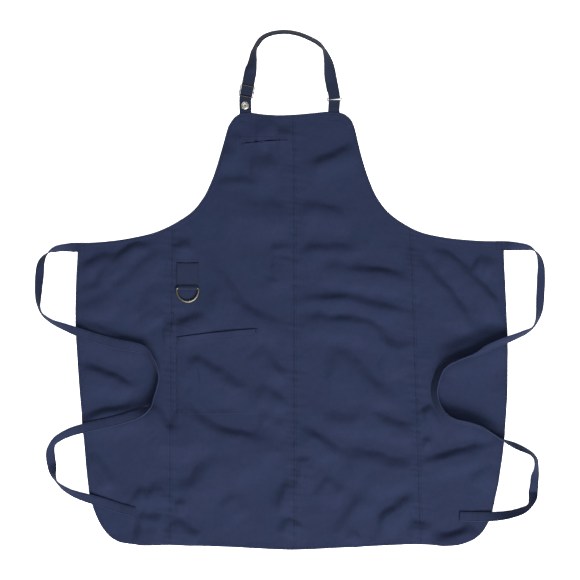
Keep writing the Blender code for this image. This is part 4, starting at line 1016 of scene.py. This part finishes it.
strips = {
    "armhole_binding_left": strip_loop(part_of(left_arm, lambda p: p[0] > -404 and p[1] < 326), 0.9, 8.6),
    "armhole_binding_right": strip_loop(part_of(right_arm, lambda p: p[0] < 405 and p[1] < 326), 0.9, 8.6),
    "side_hem_left": strip_loop(part_of(left_side, lambda p: -396 < p[1] < 70), 0.9, 8.6),
    "side_hem_right": strip_loop(part_of(right_side, lambda p: -428 < p[1] < 70), 0.9, 8.6),
    "bottom_hem": strip_loop(np.vstack([left_corner[:-1], hem[:-1], right_corner]), 0.9, 10.6),
}


def rolled(loop, top, r=0.6):
    """Rounds the rim of a narrow strip."""
    loop = resample(loop, 1.5, closed=True)

    def f(x, y):
        e = np.clip(distance(np.stack([x, y], axis=1), loop, True)[0], 0, r)
        return top(x, y) - 0.8 * (r - np.sqrt(np.maximum(r * r - (r - e) ** 2, 0)))
    return f


for name, loop in strips.items():
    loop = resample(loop, 2.4, closed=True)
    area = 0.5 * np.sum(loop[:, 0] * np.roll(loop[:, 1], -1) - np.roll(loop[:, 0], -1) * loop[:, 1])
    inner = offset(np.vstack([loop, loop[:1]]), 0.6 if area > 0 else -0.6)
    mid = offset(np.vstack([loop, loop[:1]]), 2.2 if area > 0 else -2.2)
    ob = clothe(name + "_cloth", loop, rolled(loop, under_top(0.12, 1.25)), 1.25, extra=[inner, mid], step=3.4)
    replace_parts(ob, name)

# facing behind the bib, and the bag of the pen pocket
top_lr = np.vstack([top_left[::-1][:-1], top_mid[::-1][:-1], top_right[::-1]])
low, high = 305.0, 322.0
arm_l_in = part_of(offset(left_arm, 10.5), lambda p: low < p[1] < high)
arm_r_in = part_of(offset(right_arm, 10.5), lambda p: low < p[1] < high)
facing_loop = np.vstack([offset(top_lr, -1.6), arm_r_in[::-1], arm_l_in[::-1]])
facing = clothe("bib_facing_cloth", facing_loop, lambda x, y: np.full_like(x, 0.72), 0.5, step=4.0)
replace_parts(facing, "bib_facing")
bag = clothe("pen_pocket_bag_cloth", np.array(((-97.0, 307.4), (-97.0, 192.0), (-3.0, 192.0), (-3.0, 307.0))),
             lambda x, y: np.maximum(1.62 + np.minimum(lie(x, y), 0) * 0.8, 1.0) - 0.15 + 0.05 * noise(x, y, 20, 81), 0.45, step=4.0)
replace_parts(bag, "pen_pocket_bag")

# welts of the pen pocket
for i, (a, b) in enumerate(SLITS):
    a, b = np.array(a), np.array(b)
    d = (b - a) / np.linalg.norm(b - a)
    n = np.array((d[1], -d[0]))
    loop = resample(np.array([a + n * 0.7, a + n * 5.0, b + n * 5.0, b + n * 0.7]), 1.2, closed=True)
    inner = [resample(np.array([a + n * k + d * 0.5, b + n * k - d * 0.5]), 1.2) for k in (1.3, 2.0, 3.0, 4.0, 4.6)]
    ob = clothe(f"pen_pocket_welt_{i + 1}_cloth", loop,
                rolled(loop, lambda x, y: front_left_top(x, y) + 0.62 + slit_lift(x, y) * -0.4, 0.7), 0.5, extra=inner, step=1.6)
    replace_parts(ob, f"pen_pocket_welt_{i + 1}")

# patch pocket
POCKET = ((-227.0, -94.0), (-165.0, -86.3), (-100.0, -79.4), (-64.6, -77.0), (-64.2, -160.0), (-65.0, -247.5), (-145.0, -248.3), (-226.4, -247.5), (-227.6, -170.0))
pocket_loop = resample(np.array(POCKET), 2.4, closed=True)


def pocket_top_y(x):
    return np.interp(x, (-227, -165, -100, -64.6), (-94.0, -86.3, -79.4, -77.0))


def pocket_top(x, y):
    down = pocket_top_y(x) - y
    u = np.clip((x + 227) / 162.4, 0, 1)
    gape = 1.9 * np.maximum(np.sin(math.pi * u), 0) ** 0.8 * np.exp(-(np.maximum(down, 0) / 40.0) ** 1.4)
    gape += 0.5 * np.sin(math.pi * np.clip(u, 0, 1)) * smoothstep(0, 30, down) * smoothstep(0, 25, y + 247.5)
    gape += 1.5 * np.exp(-((y + 245.5) / 4.2) ** 2) * np.exp(-((x + 131) / 44) ** 4)      # its lower edge stands up a little
    z = BASE + lie(x, y) * 1.08 - 0.42 + 0.85 + gape
    e = distance(np.stack([x, y], axis=1), pocket_loop, True)[0]
    z -= 0.26 * np.exp(-((down - 12.5) / 0.8) ** 2)                      # stitched top hem
    z += 0.30 * (1 - smoothstep(12.0, 15.0, down))
    side = np.minimum(np.minimum(x + 227, -64.6 - x), y + 247.5)
    z -= 0.42 * np.exp(-((side - 2.2) / 0.7) ** 2)
    z += 0.20 * noise(x * 0.5, y, 6.5, 91) * np.exp(-(side / 9.0) ** 2) + 0.25 * noise(x, y * 0.6, 13, 92) * np.exp(-(down / 25.0) ** 2)
    r = np.clip(e, 0, 0.9)
    z -= 0.8 * (0.9 - np.sqrt(np.maximum(0.81 - (0.9 - r) ** 2, 0)))
    return z


pocket_rows = [resample(offset(np.vstack([pocket_loop, pocket_loop[:1]]), -d), 2.3) for d in (0.3, 0.9, 1.6, 2.2, 3.0, 4.4, 6.4)]
pocket_rows += [np.column_stack([np.arange(-225, -66, 2.4), pocket_top_y(np.arange(-225, -66, 2.4)) - d]) for d in (8, 10.6, 11.8, 12.5, 13.2, 14.4, 16.5)]


def pocket_wear(x, y):
    e = distance(np.stack([x, y], axis=1), pocket_loop, True)[0]
    down = pocket_top_y(x) - y
    return np.clip(0.16 * np.exp(-(e / 1.4) ** 2) + 0.12 * np.exp(-((down - 7) / 5) ** 2), 0, 1)


pocket = cloth("patch_pocket_cloth", pocket_loop, pocket_top, 0.6, TWILL, (), pocket_rows, 2.8, pocket_wear)
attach(pocket, "apron"), pocket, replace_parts(pocket, "patch_pocket")

# ------------------------------------------------------------------ D-ring tab
bar_x, bar_y, TAB45 = -204.6, 3.2, 0.8
TOP_Z = 2.9
wrap = 2.0 + 0.3 + TAB45 / 2
bar_z = TOP_Z + wrap + TAB45 / 2


def arc(cy, cz, r, a0, a1, n):
    t = np.radians(np.linspace(a0, a1, n + 1))
    return [(cy + r * math.cos(k), cz + r * math.sin(k)) for k in t]


tab_path = ([(55.0, TOP_Z + 0.4), (42, TOP_Z + 0.4), (30, TOP_Z + 0.4), (18, TOP_Z + 0.4), (9, TOP_Z + 0.4)] + arc(bar_y, bar_z, wrap, -90, -270, 18)
            + [(bar_y + 3.0, bar_z + wrap - 1.0), (bar_y + 5.2, TOP_Z + 3.6), (bar_y + 7.0, TOP_Z + 1.75), (bar_y + 9.5, TOP_Z + 1.55), (22, TOP_Z + 1.75),
               (30, TOP_Z + 1.8), (42, TOP_Z + 1.6), (51.0, TOP_Z + 1.25), (54.4, TOP_Z + 0.85)])
tab_line = resample(catmull(np.array(tab_path), 4), 1.3)
squeeze = smoothstep(9.0, 14.0, tab_line[:, 0])
tab_pts = np.column_stack([np.full(len(tab_line), bar_x), tab_line[:, 0], tab_line[:, 1]])
tab_w = 38.4 + (44.6 - 38.4) * squeeze


def tab_material():
    return twill("tab_twill", (0.0049, 0.0077, 0.0204), (0.0077, 0.0114, 0.0278), (0.0108, 0.0154, 0.0349))


ring_tab = tape("ring_tab_cloth", tab_pts, np.tile((1.0, 0, 0), (len(tab_pts), 1)), tab_w, TAB45, tab_material())
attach(ring_tab, "apron"), ring_tab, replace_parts(ring_tab, "ring_tab")

# ------------------------------------------------------------------ waist ties
def tie_rows(route, width, thick, seed, flip=1.0, step=2.6):
    """Points, across directions and bow of a tape lying along its route over the cloth."""
    xy = catmull([r[:2] for r in route], 8)
    roll = monotone([float(r[2]) for r in route], 8) * flip
    s = lengths(xy)
    even = np.linspace(0, s[-1], int(s[-1] / step) + 1)
    x, y, roll = (np.interp(even, s, v) for v in (xy[:, 0], xy[:, 1], roll))
    t = tangents(np.column_stack([x, y]))
    left = np.column_stack([-t[:, 1], t[:, 0], np.zeros(len(x))])
    fade = smoothstep(0, 60, even)
    roll = roll + fade * (3.5 * noise(even, 0 * even + seed, 28, 101 + seed) + 2.0 * noise(even, 0 * even, 11, 111 + seed))
    r = np.radians(roll)
    reach = np.abs(np.cos(r)) * width / 2 * 0.92
    floor = np.max([on_cloth(x + left[:, 0] * reach * k, y + left[:, 1] * reach * k) for k in (-1, -0.5, 0, 0.5, 1)], axis=0)
    k = np.exp(-0.5 * (np.arange(-6, 7) / 2.6) ** 2)
    k /= k.sum()
    floor = np.maximum(floor, np.convolve(np.pad(floor, 6, mode="edge"), k, mode="valid"))
    z = floor + np.abs(np.sin(r)) * width / 2 + np.abs(np.cos(r)) * thick / 2 + 0.1
    across = left * np.cos(r)[:, None] + np.array((0, 0, 1.0)) * np.sin(r)[:, None]
    bow = fade * (0.5 * noise(even, 0 * even, 34, 121 + seed) + 0.3)
    return np.column_stack([x, y, z]), across, bow, even


def rows_on_tape(points, across, us, thick, faces=(1,), lift=0.05):
    """Stitch rows along a tape at distances across it, on one or both faces."""
    t = tangents(points)
    n = np.cross(t, across)
    n /= np.linalg.norm(n, axis=1, keepdims=True)
    return [(points + across * u + n * f * (thick / 2 + lift), n * f) for u in us for f in faces]


tie_stitches = {}
for side, route, root_x, seed in (("left", LEFT_TIE_ROUTE, -409.0, 1), ("right", RIGHT_TIE_ROUTE, 411.0, 2)):
    flip = 1.0 if side == "left" else TIE_FLIP_RIGHT
    p, a, bow, s = tie_rows(route, TIE_W, TIE_T, seed, flip)
    y0 = route[0][1]
    sign = -1 if side == "left" else 1
    # the root lies behind the side panel, and the tape leaves it flat
    z_root = 1.12
    near = smoothstep(0, 34, s)
    p[:, 2] = np.maximum(p[:, 2] * near + z_root * (1 - near), np.abs(a[:, 2]) * TIE_W / 2 + 0.75)
    root = np.array([(root_x + (p[0, 0] - root_x) * k, y0, z_root) for k in np.linspace(0, 1, 8)[:-1]])
    ra = np.tile(a[0], (len(root), 1))
    pts, acr = np.vstack([root, p]), np.vstack([ra, a])
    bows = np.concatenate([np.zeros(len(root)), bow])
    i = int(np.searchsorted(s, 44.0)) + len(root)
    body = "waist_tie_" + side
    thick = np.interp(np.arange(len(pts)), (0, len(root) + 5, len(root) + 16), (1.15, 1.15, TIE_T))
    first = tape(f"tie_root_{side}_cloth", pts[: i + 1], acr[: i + 1], TIE_W, thick[: i + 1, None], TIE, bows[: i + 1], notch=True)
    rest = tape(f"waist_tie_{side}_cloth", pts[i:], acr[i:], TIE_W, thick[i:, None], TIE, bows[i:], notch=True)
    first, rest
    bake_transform(first)
    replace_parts(first, f"tie_root_{side}")
    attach(rest, body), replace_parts(rest, f"waist_tie_{side}")
    sew = rows_on_tape(pts[i:], acr[i:], (-7.4, 7.4), TIE_T, (1, -1))
    # square of stitching at the end of the tape
    e0 = len(pts) - 1
    far = [k for k in range(len(pts)) if s[-1] - (s[k - len(root)] if k >= len(root) else -99) < 22 and k >= len(root)]
    tn = tangents(pts[far])
    nn = np.cross(tn, acr[far])
    nn /= np.linalg.norm(nn, axis=1, keepdims=True)
    for k in (1, -3):
        c = pts[far][k if k > 0 else k] + nn[k] * (TIE_T / 2 + 0.06)
        line = np.array([c + acr[far][k] * u for u in np.linspace(-7.4, 7.4, 8)])
        sew.append((line, np.tile(nn[k], (8, 1))))
    ob = stitches(f"waist_tie_{side}_stitching", sew, THREAD, radius=0.33)
    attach(ob, body), ob
    sew = rows_on_tape(pts[len(root) - 1 : i + 1], acr[len(root) - 1 : i + 1], (-7.4, 7.4), 1.2, (1, -1))
    ob = stitches(f"tie_root_{side}_stitching", sew, THREAD)
    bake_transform(ob)

# ------------------------------------------------------------------ neck strap, tabs and flap
n_xy = catmull([r[:2] for r in NECK_ROUTE], 8)
n_roll = monotone([float(r[2]) for r in NECK_ROUTE], 8)
n_floor = monotone([float(r[3]) for r in NECK_ROUTE], 8)
ns = lengths(n_xy)
even = np.linspace(0, ns[-1], int(ns[-1] / 2.2) + 1)
nx, ny, nr, nf = (np.interp(even, ns, v) for v in (n_xy[:, 0], n_xy[:, 1], n_roll, n_floor))
free = smoothstep(60, 90, even) * smoothstep(60, 90, even[-1] - even)
nr = nr + free * 2.0 * noise(even, 0 * even, 26, 131)
arch = smoothstep(474, 492, ny)                       # its upper edge leans inwards over the arch
nr = nr * (1 - arch) - 63.0 * arch
nt_ = tangents(np.column_stack([nx, ny]))
nleft = np.column_stack([-nt_[:, 1], nt_[:, 0], np.zeros(len(nx))])
rr = np.radians(nr)
nz = np.maximum(nf, 0.3) + np.abs(np.sin(rr)) * NECK_W / 2 + np.abs(np.cos(rr)) * 0.5
n_pts = np.column_stack([nx, ny, nz]) - nleft * (2.4 * arch)[:, None]
n_acr = nleft * np.cos(rr)[:, None] + np.array((0, 0, 1.0)) * np.sin(rr)[:, None]
n_bow = free * (0.9 * noise(even, 0 * even, 40, 132) - 0.2)
n_curl = free * (2.4 + 0.9 * noise(even, 0 * even, 14, 133)) * smoothstep(500, 470, ny)

ox, oy, OVAL_H, WIRE = 88.8, 381.0, 5.4, 0.9
upper, lower = oy + OVAL_H / 2, oy - OVAL_H / 2
oval_z = 0.3 + 1.0 + 0.3 + WIRE
r_in = WIRE + 0.3 + 0.5
bend = [(2 * upper - y, z) for y, z in arc(upper, oval_z, r_in, 90, -90, 12)]
last = n_pts[-2]
tail = [(last[0] + (ox - last[0]) * t, last[1] + (upper + 2.2 - last[1]) * t, last[2] + (oval_z + r_in - last[2]) * t) for t in (0.35, 0.7, 1.0)]
tail += [(ox, y, z) for y, z in bend] + [(ox - 0.3, upper + 3.0, oval_z - r_in), (ox - 1.0, upper + 12.0, oval_z - r_in)]
tail = resample(np.array([tuple(last)] + tail), 1.1)[1:]
tail_w = NECK_W + (23.2 - NECK_W) * smoothstep(0, 8, lengths(tail))
slant = math.radians(6.5)
tail_acr = np.tile((math.cos(slant), math.sin(slant), 0.0), (len(tail), 1))      # the strap's end isn't quite square to the ring
strap_pts = np.vstack([n_pts[:-1], tail])
strap_acr = np.vstack([n_acr[:-1], tail_acr])
k = len(n_pts) - 1
for i in range(6):           # the last free rows turn smoothly into the loop's direction
    w = (i + 1) / 7
    strap_acr[k - 6 + i] = strap_acr[k - 6 + i] * (1 - w) + tail_acr[0] * w
strap_w = np.concatenate([np.full(k, NECK_W), tail_w])
strap_t = np.concatenate([np.interp(even[:-1], (0, 40, 70), (0.95, 0.95, NECK_T)) + 1.0 * smoothstep(476, 492, ny[:-1]), np.full(len(tail), 0.95)])
split = int(np.searchsorted(even, 7.0))
strap = tape("neck_strap_webbing", strap_pts[split:], strap_acr[split:], strap_w[split:], strap_t[split:, None], WEB,
             np.concatenate([n_bow[:-1], np.zeros(len(tail))])[split:], edge=1.12, curl=np.concatenate([n_curl[:-1], np.zeros(len(tail))])[split:])
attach(strap, "neck_loop"), strap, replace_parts(strap, "neck_strap")

# snap flap: the strap's end, over the tab
f_top, f_low = n_pts[0].copy(), np.array((-89.8, 362.0, 5.0))
flap_pts = [n_pts[j] for j in range(split, -1, -1)]
flap_pts += [f_top + (f_low - f_top) * t for t in np.linspace(0, 1, 12)[1:]]
flap_pts = np.array(flap_pts)
flap_acr = np.array([n_acr[j] * -1 for j in range(split, -1, -1)] + [(n_acr[0] * -1) * (1 - t) + np.array((1.0, 0, 0)) * t for t in np.linspace(0, 1, 12)[1:]])
flap_w = np.interp(np.arange(len(flap_pts)), (0, split, len(flap_pts) - 1), (NECK_W, TAB_W + 0.4, TAB_W - 0.6))
flap = tape("snap_flap_webbing", flap_pts, flap_acr, flap_w, 0.85, WEB, edge=1.12)
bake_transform(flap)
flap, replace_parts(flap, "snap_flap")

# left tab: one ply, from between the facing and the panels up to the snap
tl = np.array([(-88.6 - 0.02 * (y - 330), y, 1.3) for y in np.linspace(330.0, 381.0, 30)])
left_tab = tape("neck_tab_left_webbing", tl, np.tile((1.0, 0, 0), (len(tl), 1)), TAB_W, 0.8, TAB)
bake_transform(left_tab)
left_tab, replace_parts(left_tab, "neck_tab_base_left", "neck_tab_left")

# right tab: doubled round the oval ring's lower side
r_tab = WIRE + 0.3 + 0.4
path = [(332.0, 1.3), (340, 1.3), (350, 1.3), (359, 1.3), (364.2, 1.3), (lower - 3.0, oval_z - r_tab)] + arc(lower, oval_z, r_tab, -90, 90, 10)
path += [(lower - 4.0, oval_z + r_tab - 0.5), (370.0, 3.35), (365.2, 3.3), (359, 2.75)]
line = resample(catmull(np.array(path), 3), 1.3)
tx = 87.6 + (ox - 87.6) * np.clip((line[:, 0] - 359.2) / 18, 0, 1)
tr = np.column_stack([tx, line[:, 0], line[:, 1]])
right_tab = tape("neck_tab_right_webbing", tr, np.tile((1.0, 0, 0), (len(tr), 1)), 23.2, 0.8, TAB)
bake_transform(right_tab)
right_tab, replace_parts(right_tab, "neck_tab_base_right", "neck_tab_right")

# ------------------------------------------------------------------ stitching
def height_at(x, y):
    """Upper face of whichever panel is on top."""
    z = np.empty_like(x)
    xl, xc, xr = seam_x(seam_l, y), seam_x(centre, y), seam_x(seam_r, y)
    for name, mask in (("side_panel_left", x < xl), ("front_panel_left", (x >= xl) & (x < xc)),
                       ("front_panel_right", (x >= xc) & (x < xr)), ("side_panel_right", x >= xr)):
        if mask.any():
            z[mask] = tops[name](x[mask], y[mask])
    return z


def sewn(name, lines, height, **kw):
    ob = stitches(name, [flat_row(p, height, kw.pop("lift", 0.10)) for p in lines], THREAD, radius=0.36, **kw)
    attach(ob, "apron"), ob
    return ob


def seam_line(seam, dx, trim=3.0):
    ys = np.arange(seam[0, 1] - trim, seam[-1, 1] + trim, -2.0)
    return np.column_stack([seam_x(seam, ys) + dx, ys])


sewn("seam_stitching", [seam_line(s, d) for s, _ in SEAMS for d in (1.5, FELL - 1.3)], height_at)
rim = np.vstack([outer, outer[:1]])
row = offset(resample(rim, 2.0), 4.7)
row[:, 1] = np.where(row[:, 1] < -480, row[:, 1], row[:, 1])
hem_row = offset(resample(np.vstack([left_corner[:-1], hem[:-1], right_corner]), 2.0), 0)
depth = stitch_in(hem_row[:, 1])
t2 = tangents(hem_row)
hem_row = hem_row + np.stack([-t2[:, 1], t2[:, 0]], axis=1) * depth[:, None]
sewn("edge_stitching", [offset(resample(left_arm, 2.0), 4.7)[2:-1], offset(resample(left_side, 2.0), 4.7)[2:], hem_row,
                        offset(resample(right_side, 2.0), 4.7)[:-2], offset(resample(right_arm, 2.0), 4.7)[1:-2],
                        offset(resample(np.vstack([top_right[:-1], top_mid[:-1], top_left]), 2.0), 4.7)[3:-3]], height_at)


def box(x0, y0, x1, y1):
    return np.array(((x0, y0), (x1, y0), (x1, y1), (x0, y1), (x0, y0)), float)


marks = [box(-423.5, 78.0, -411.0, 92.0), box(412.5, 81.0, 425.0, 95.5)]
marks += [np.array(((-423.5, 78), (-411, 92))), np.array(((412.5, 95.5), (425, 81)))]
marks += [np.array(((-100.5, 286.0), (-100.5, 306.0), (-31.0, 306.5)))]
marks += [box(-100.0, 336.0, -77.2, 347.0), box(76.2, 338.0, 99.4, 349.5)]
marks += [np.array(((-226.5, 60.5), (-205.0, 61.5), (-183.0, 60.5)))]
sewn("mark_stitching", marks, height_at, length=2.1, pitch=2.8)

top_hem = np.column_stack([np.arange(-224.5, -66.5, 2.0), pocket_top_y(np.arange(-224.5, -66.5, 2.0)) - 12.5])
sides = np.array(((-224.8, -95.5), (-224.6, -170.0), (-224.2, -245.3), (-145.0, -246.1), (-67.2, -245.3), (-66.6, -160.0), (-66.9, -79.5)))
sewn("pocket_stitching", [top_hem, sides], pocket_top)


def bartack(x, y, length, width, angle):
    """A short dense bar of stitches: rows across, side by side."""
    a = math.radians(angle)
    d, n = np.array((math.cos(a), math.sin(a))), np.array((-math.sin(a), math.cos(a)))
    out = []
    for k in np.arange(-length / 2, length / 2, 0.42):
        c = np.array((x, y)) + d * k
        out.append(np.array((c - n * width / 2, c + n * width / 2)))
    return out


tacks = []
for (a, b), (c, d) in zip(SLITS, SLITS[1:]):
    mx, my = (b[0] + c[0]) / 2, (b[1] + c[1]) / 2 - 1.5
    tacks += bartack(mx, my, 2.0, 7.0, 4)
tacks += bartack(-95.5, 292.3, 2.0, 7.0, 4)
pocket_tacks = bartack(-222.5, -98.0, 2.0, 9.0, 7) + bartack(-68.6, -81.5, 2.0, 9.0, 2)


def tack_rows(lines, height, lift):
    out = []
    for p in lines:
        mid = p.mean(0)
        z = float(height(np.array([mid[0]]), np.array([mid[1]]))[0]) + lift
        q = np.array([p[0], mid, p[1]])
        out.append((np.column_stack([q, [z - 0.1, z, z - 0.1]]), np.tile((0, 0, 1.0), (3, 1))))
    return out


ob = stitches("bartacks", tack_rows(tacks, lambda x, y: front_left_top(x, y) + 0.55, 0.1), THREAD, length=6.0, pitch=6.0, radius=0.3)
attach(ob, "apron"), ob
ob = stitches("pocket_bartacks", tack_rows(pocket_tacks, pocket_top, 0.1), THREAD, length=8.0, pitch=8.0, radius=0.3)
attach(ob, "apron"), ob

# tab of the D-ring: stitched round, and across just above the ring
tab_face = TOP_Z + 1.8 + TAB45 / 2


def tab_height(x, y):
    return np.interp(y, (12.0, 16.0, 30, 42, 51, 54.4), (tab_face - 0.22, tab_face - 0.08, tab_face, tab_face - 0.2, tab_face - 0.5, tab_face - 0.8)) + 0.0 * x


sewn("tab_stitching", [np.array(((-225.0, 12.6), (-225.0, 52.2), (-184.2, 52.2), (-184.2, 12.6))), np.array(((-223.0, 12.4), (-186.0, 12.4)))], tab_height)

# neck strap: the end of the strap is sewn down above the ring, and the flap behind the snap; no stitching is drawn for
# them here

# ------------------------------------------------------------------ metal parts keep their CAD shapes
middle = np.array([tuple(c) for c in nodes["snap_cap"].bound_box]).mean(0) * 1000
# the cap's dimple and ring groove carry painted shade
CAP = metal("satin_nickel_cap_shaded_dimple", (0.42, 0.41, 0.36), (0.20, 0.195, 0.17), (0.24, 0.42), 0.5, 4.0, rings=(float(middle[0]), float(middle[1])))
for name, finish in (("d_ring", BRASS), ("snap_cap", CAP), ("snap_socket", NICKEL), ("snap_stud", NICKEL), ("neck_ring", DARK), ("strap_slider", DARK)):
    o = nodes[name]
    o.data.materials.clear()
    o.data.materials.append(finish)
    o.data.shade_smooth()
    o.data.set_sharp_from_angle(angle=math.radians(50))

# ------------------------------------------------------------------ sizes of the cloth sheets, worked out and then dropped
def area_of(loop):
    loop = np.asarray(loop)
    return abs(0.5 * np.sum(loop[:, 0] * np.roll(loop[:, 1], -1) - np.roll(loop[:, 0], -1) * loop[:, 1])) * 1e-6


def declare(loop):
    loop = np.asarray(loop)
    w, l = (loop.max(0) - loop.min(0)) * 0.001
    area = area_of(loop)
    if area < 0.3 * w * l:      # a narrow curved strip: its own width and length
        e = max(np.linalg.norm(np.diff(np.vstack([loop, loop[:1]]), axis=0), axis=1).sum() * 0.001 / 2, 0.02)
        w, l = area / e, e
        w = max(w, 0.0101)
        area = None


declare(loops["side_panel_left"])
declare(loops["front_panel_left"])
declare(loops["front_panel_right"])
declare(loops["side_panel_right"])
declare(facing_loop)
declare(np.array(((-97.0, 307.4), (-97.0, 192.0), (-3.0, 192.0), (-3.0, 307.0))))
declare(pocket_loop)

# ------------------------------------------------------------------ table, light and camera
scene = bpy.context.scene
floor_mesh = bpy.data.meshes.new("table_top")
floor_mesh.from_pydata([(-6, -6, -0.0004), (6, -6, -0.0004), (6, 6, -0.0004), (-6, 6, -0.0004)], [], [(0, 1, 2, 3)])
floor = bpy.data.objects.new("table_top", floor_mesh)
scene.collection.objects.link(floor)
m, nt, b = shader("pale_table")
tint = mottle(nt, in_millimetres(nt), 240.0, 2.0)
ramp = node(nt, "ShaderNodeValToRGB")
ramp.color_ramp.elements[0].color, ramp.color_ramp.elements[1].color = (0.86, 0.86, 0.86, 1), (0.90, 0.90, 0.895, 1)
sockets(nt, ramp, [("Fac", tint)])
nt.links.new(ramp.outputs["Color"], b.inputs["Base Color"])
b.inputs["Roughness"].default_value = 0.9
b.inputs["Specular IOR Level"].default_value = 0.1
b.inputs["Emission Color"].default_value = (1, 1, 1, 1)      # a table of white acrylic, lit softly from below
b.inputs["Emission Strength"].default_value = 0.95
floor_mesh.materials.append(m)

world = bpy.data.worlds.new("studio")
scene.world = world
world.use_nodes = True
world.node_tree.nodes["Background"].inputs["Color"].default_value = (1, 1, 1, 1)
world.node_tree.nodes["Background"].inputs["Strength"].default_value = WORLD


def softbox(name, at, look, size, power, colour=(1, 1, 1)):
    light = bpy.data.lights.new(name, "AREA")
    light.shape, light.size, light.size_y = "RECTANGLE", size[0], size[1]
    light.energy, light.color = power, colour
    ob = bpy.data.objects.new(name, light)
    ob.location = at
    ob.rotation_mode = "QUATERNION"
    ob.rotation_quaternion = (Vector(look) - Vector(at)).to_track_quat("-Z", "Y")
    scene.collection.objects.link(ob)


softbox("key", KEY_AT, (0, 0, 0), (4.2, 3.0), KEY_POWER)
softbox("fill", (-1.0, 2.4, 4.0), (0, 0, 0), (3.0, 3.0), FILL_POWER)

scene.view_settings.view_transform = "Standard"
scene.view_settings.look = "None"

cam = bpy.data.cameras.new("camera")
cam.lens, cam.sensor_width = 85.0, 36.0
distance_up = 1.160 * 85.0 / 36.0
eye = bpy.data.objects.new("camera", cam)
eye.location = (0.00005, -0.00028, BASE * 0.001 + distance_up)
eye.rotation_euler = (0, 0, 0)
cam.clip_start, cam.clip_end = 0.1, 50
scene.collection.objects.link(eye)
scene.camera = eye
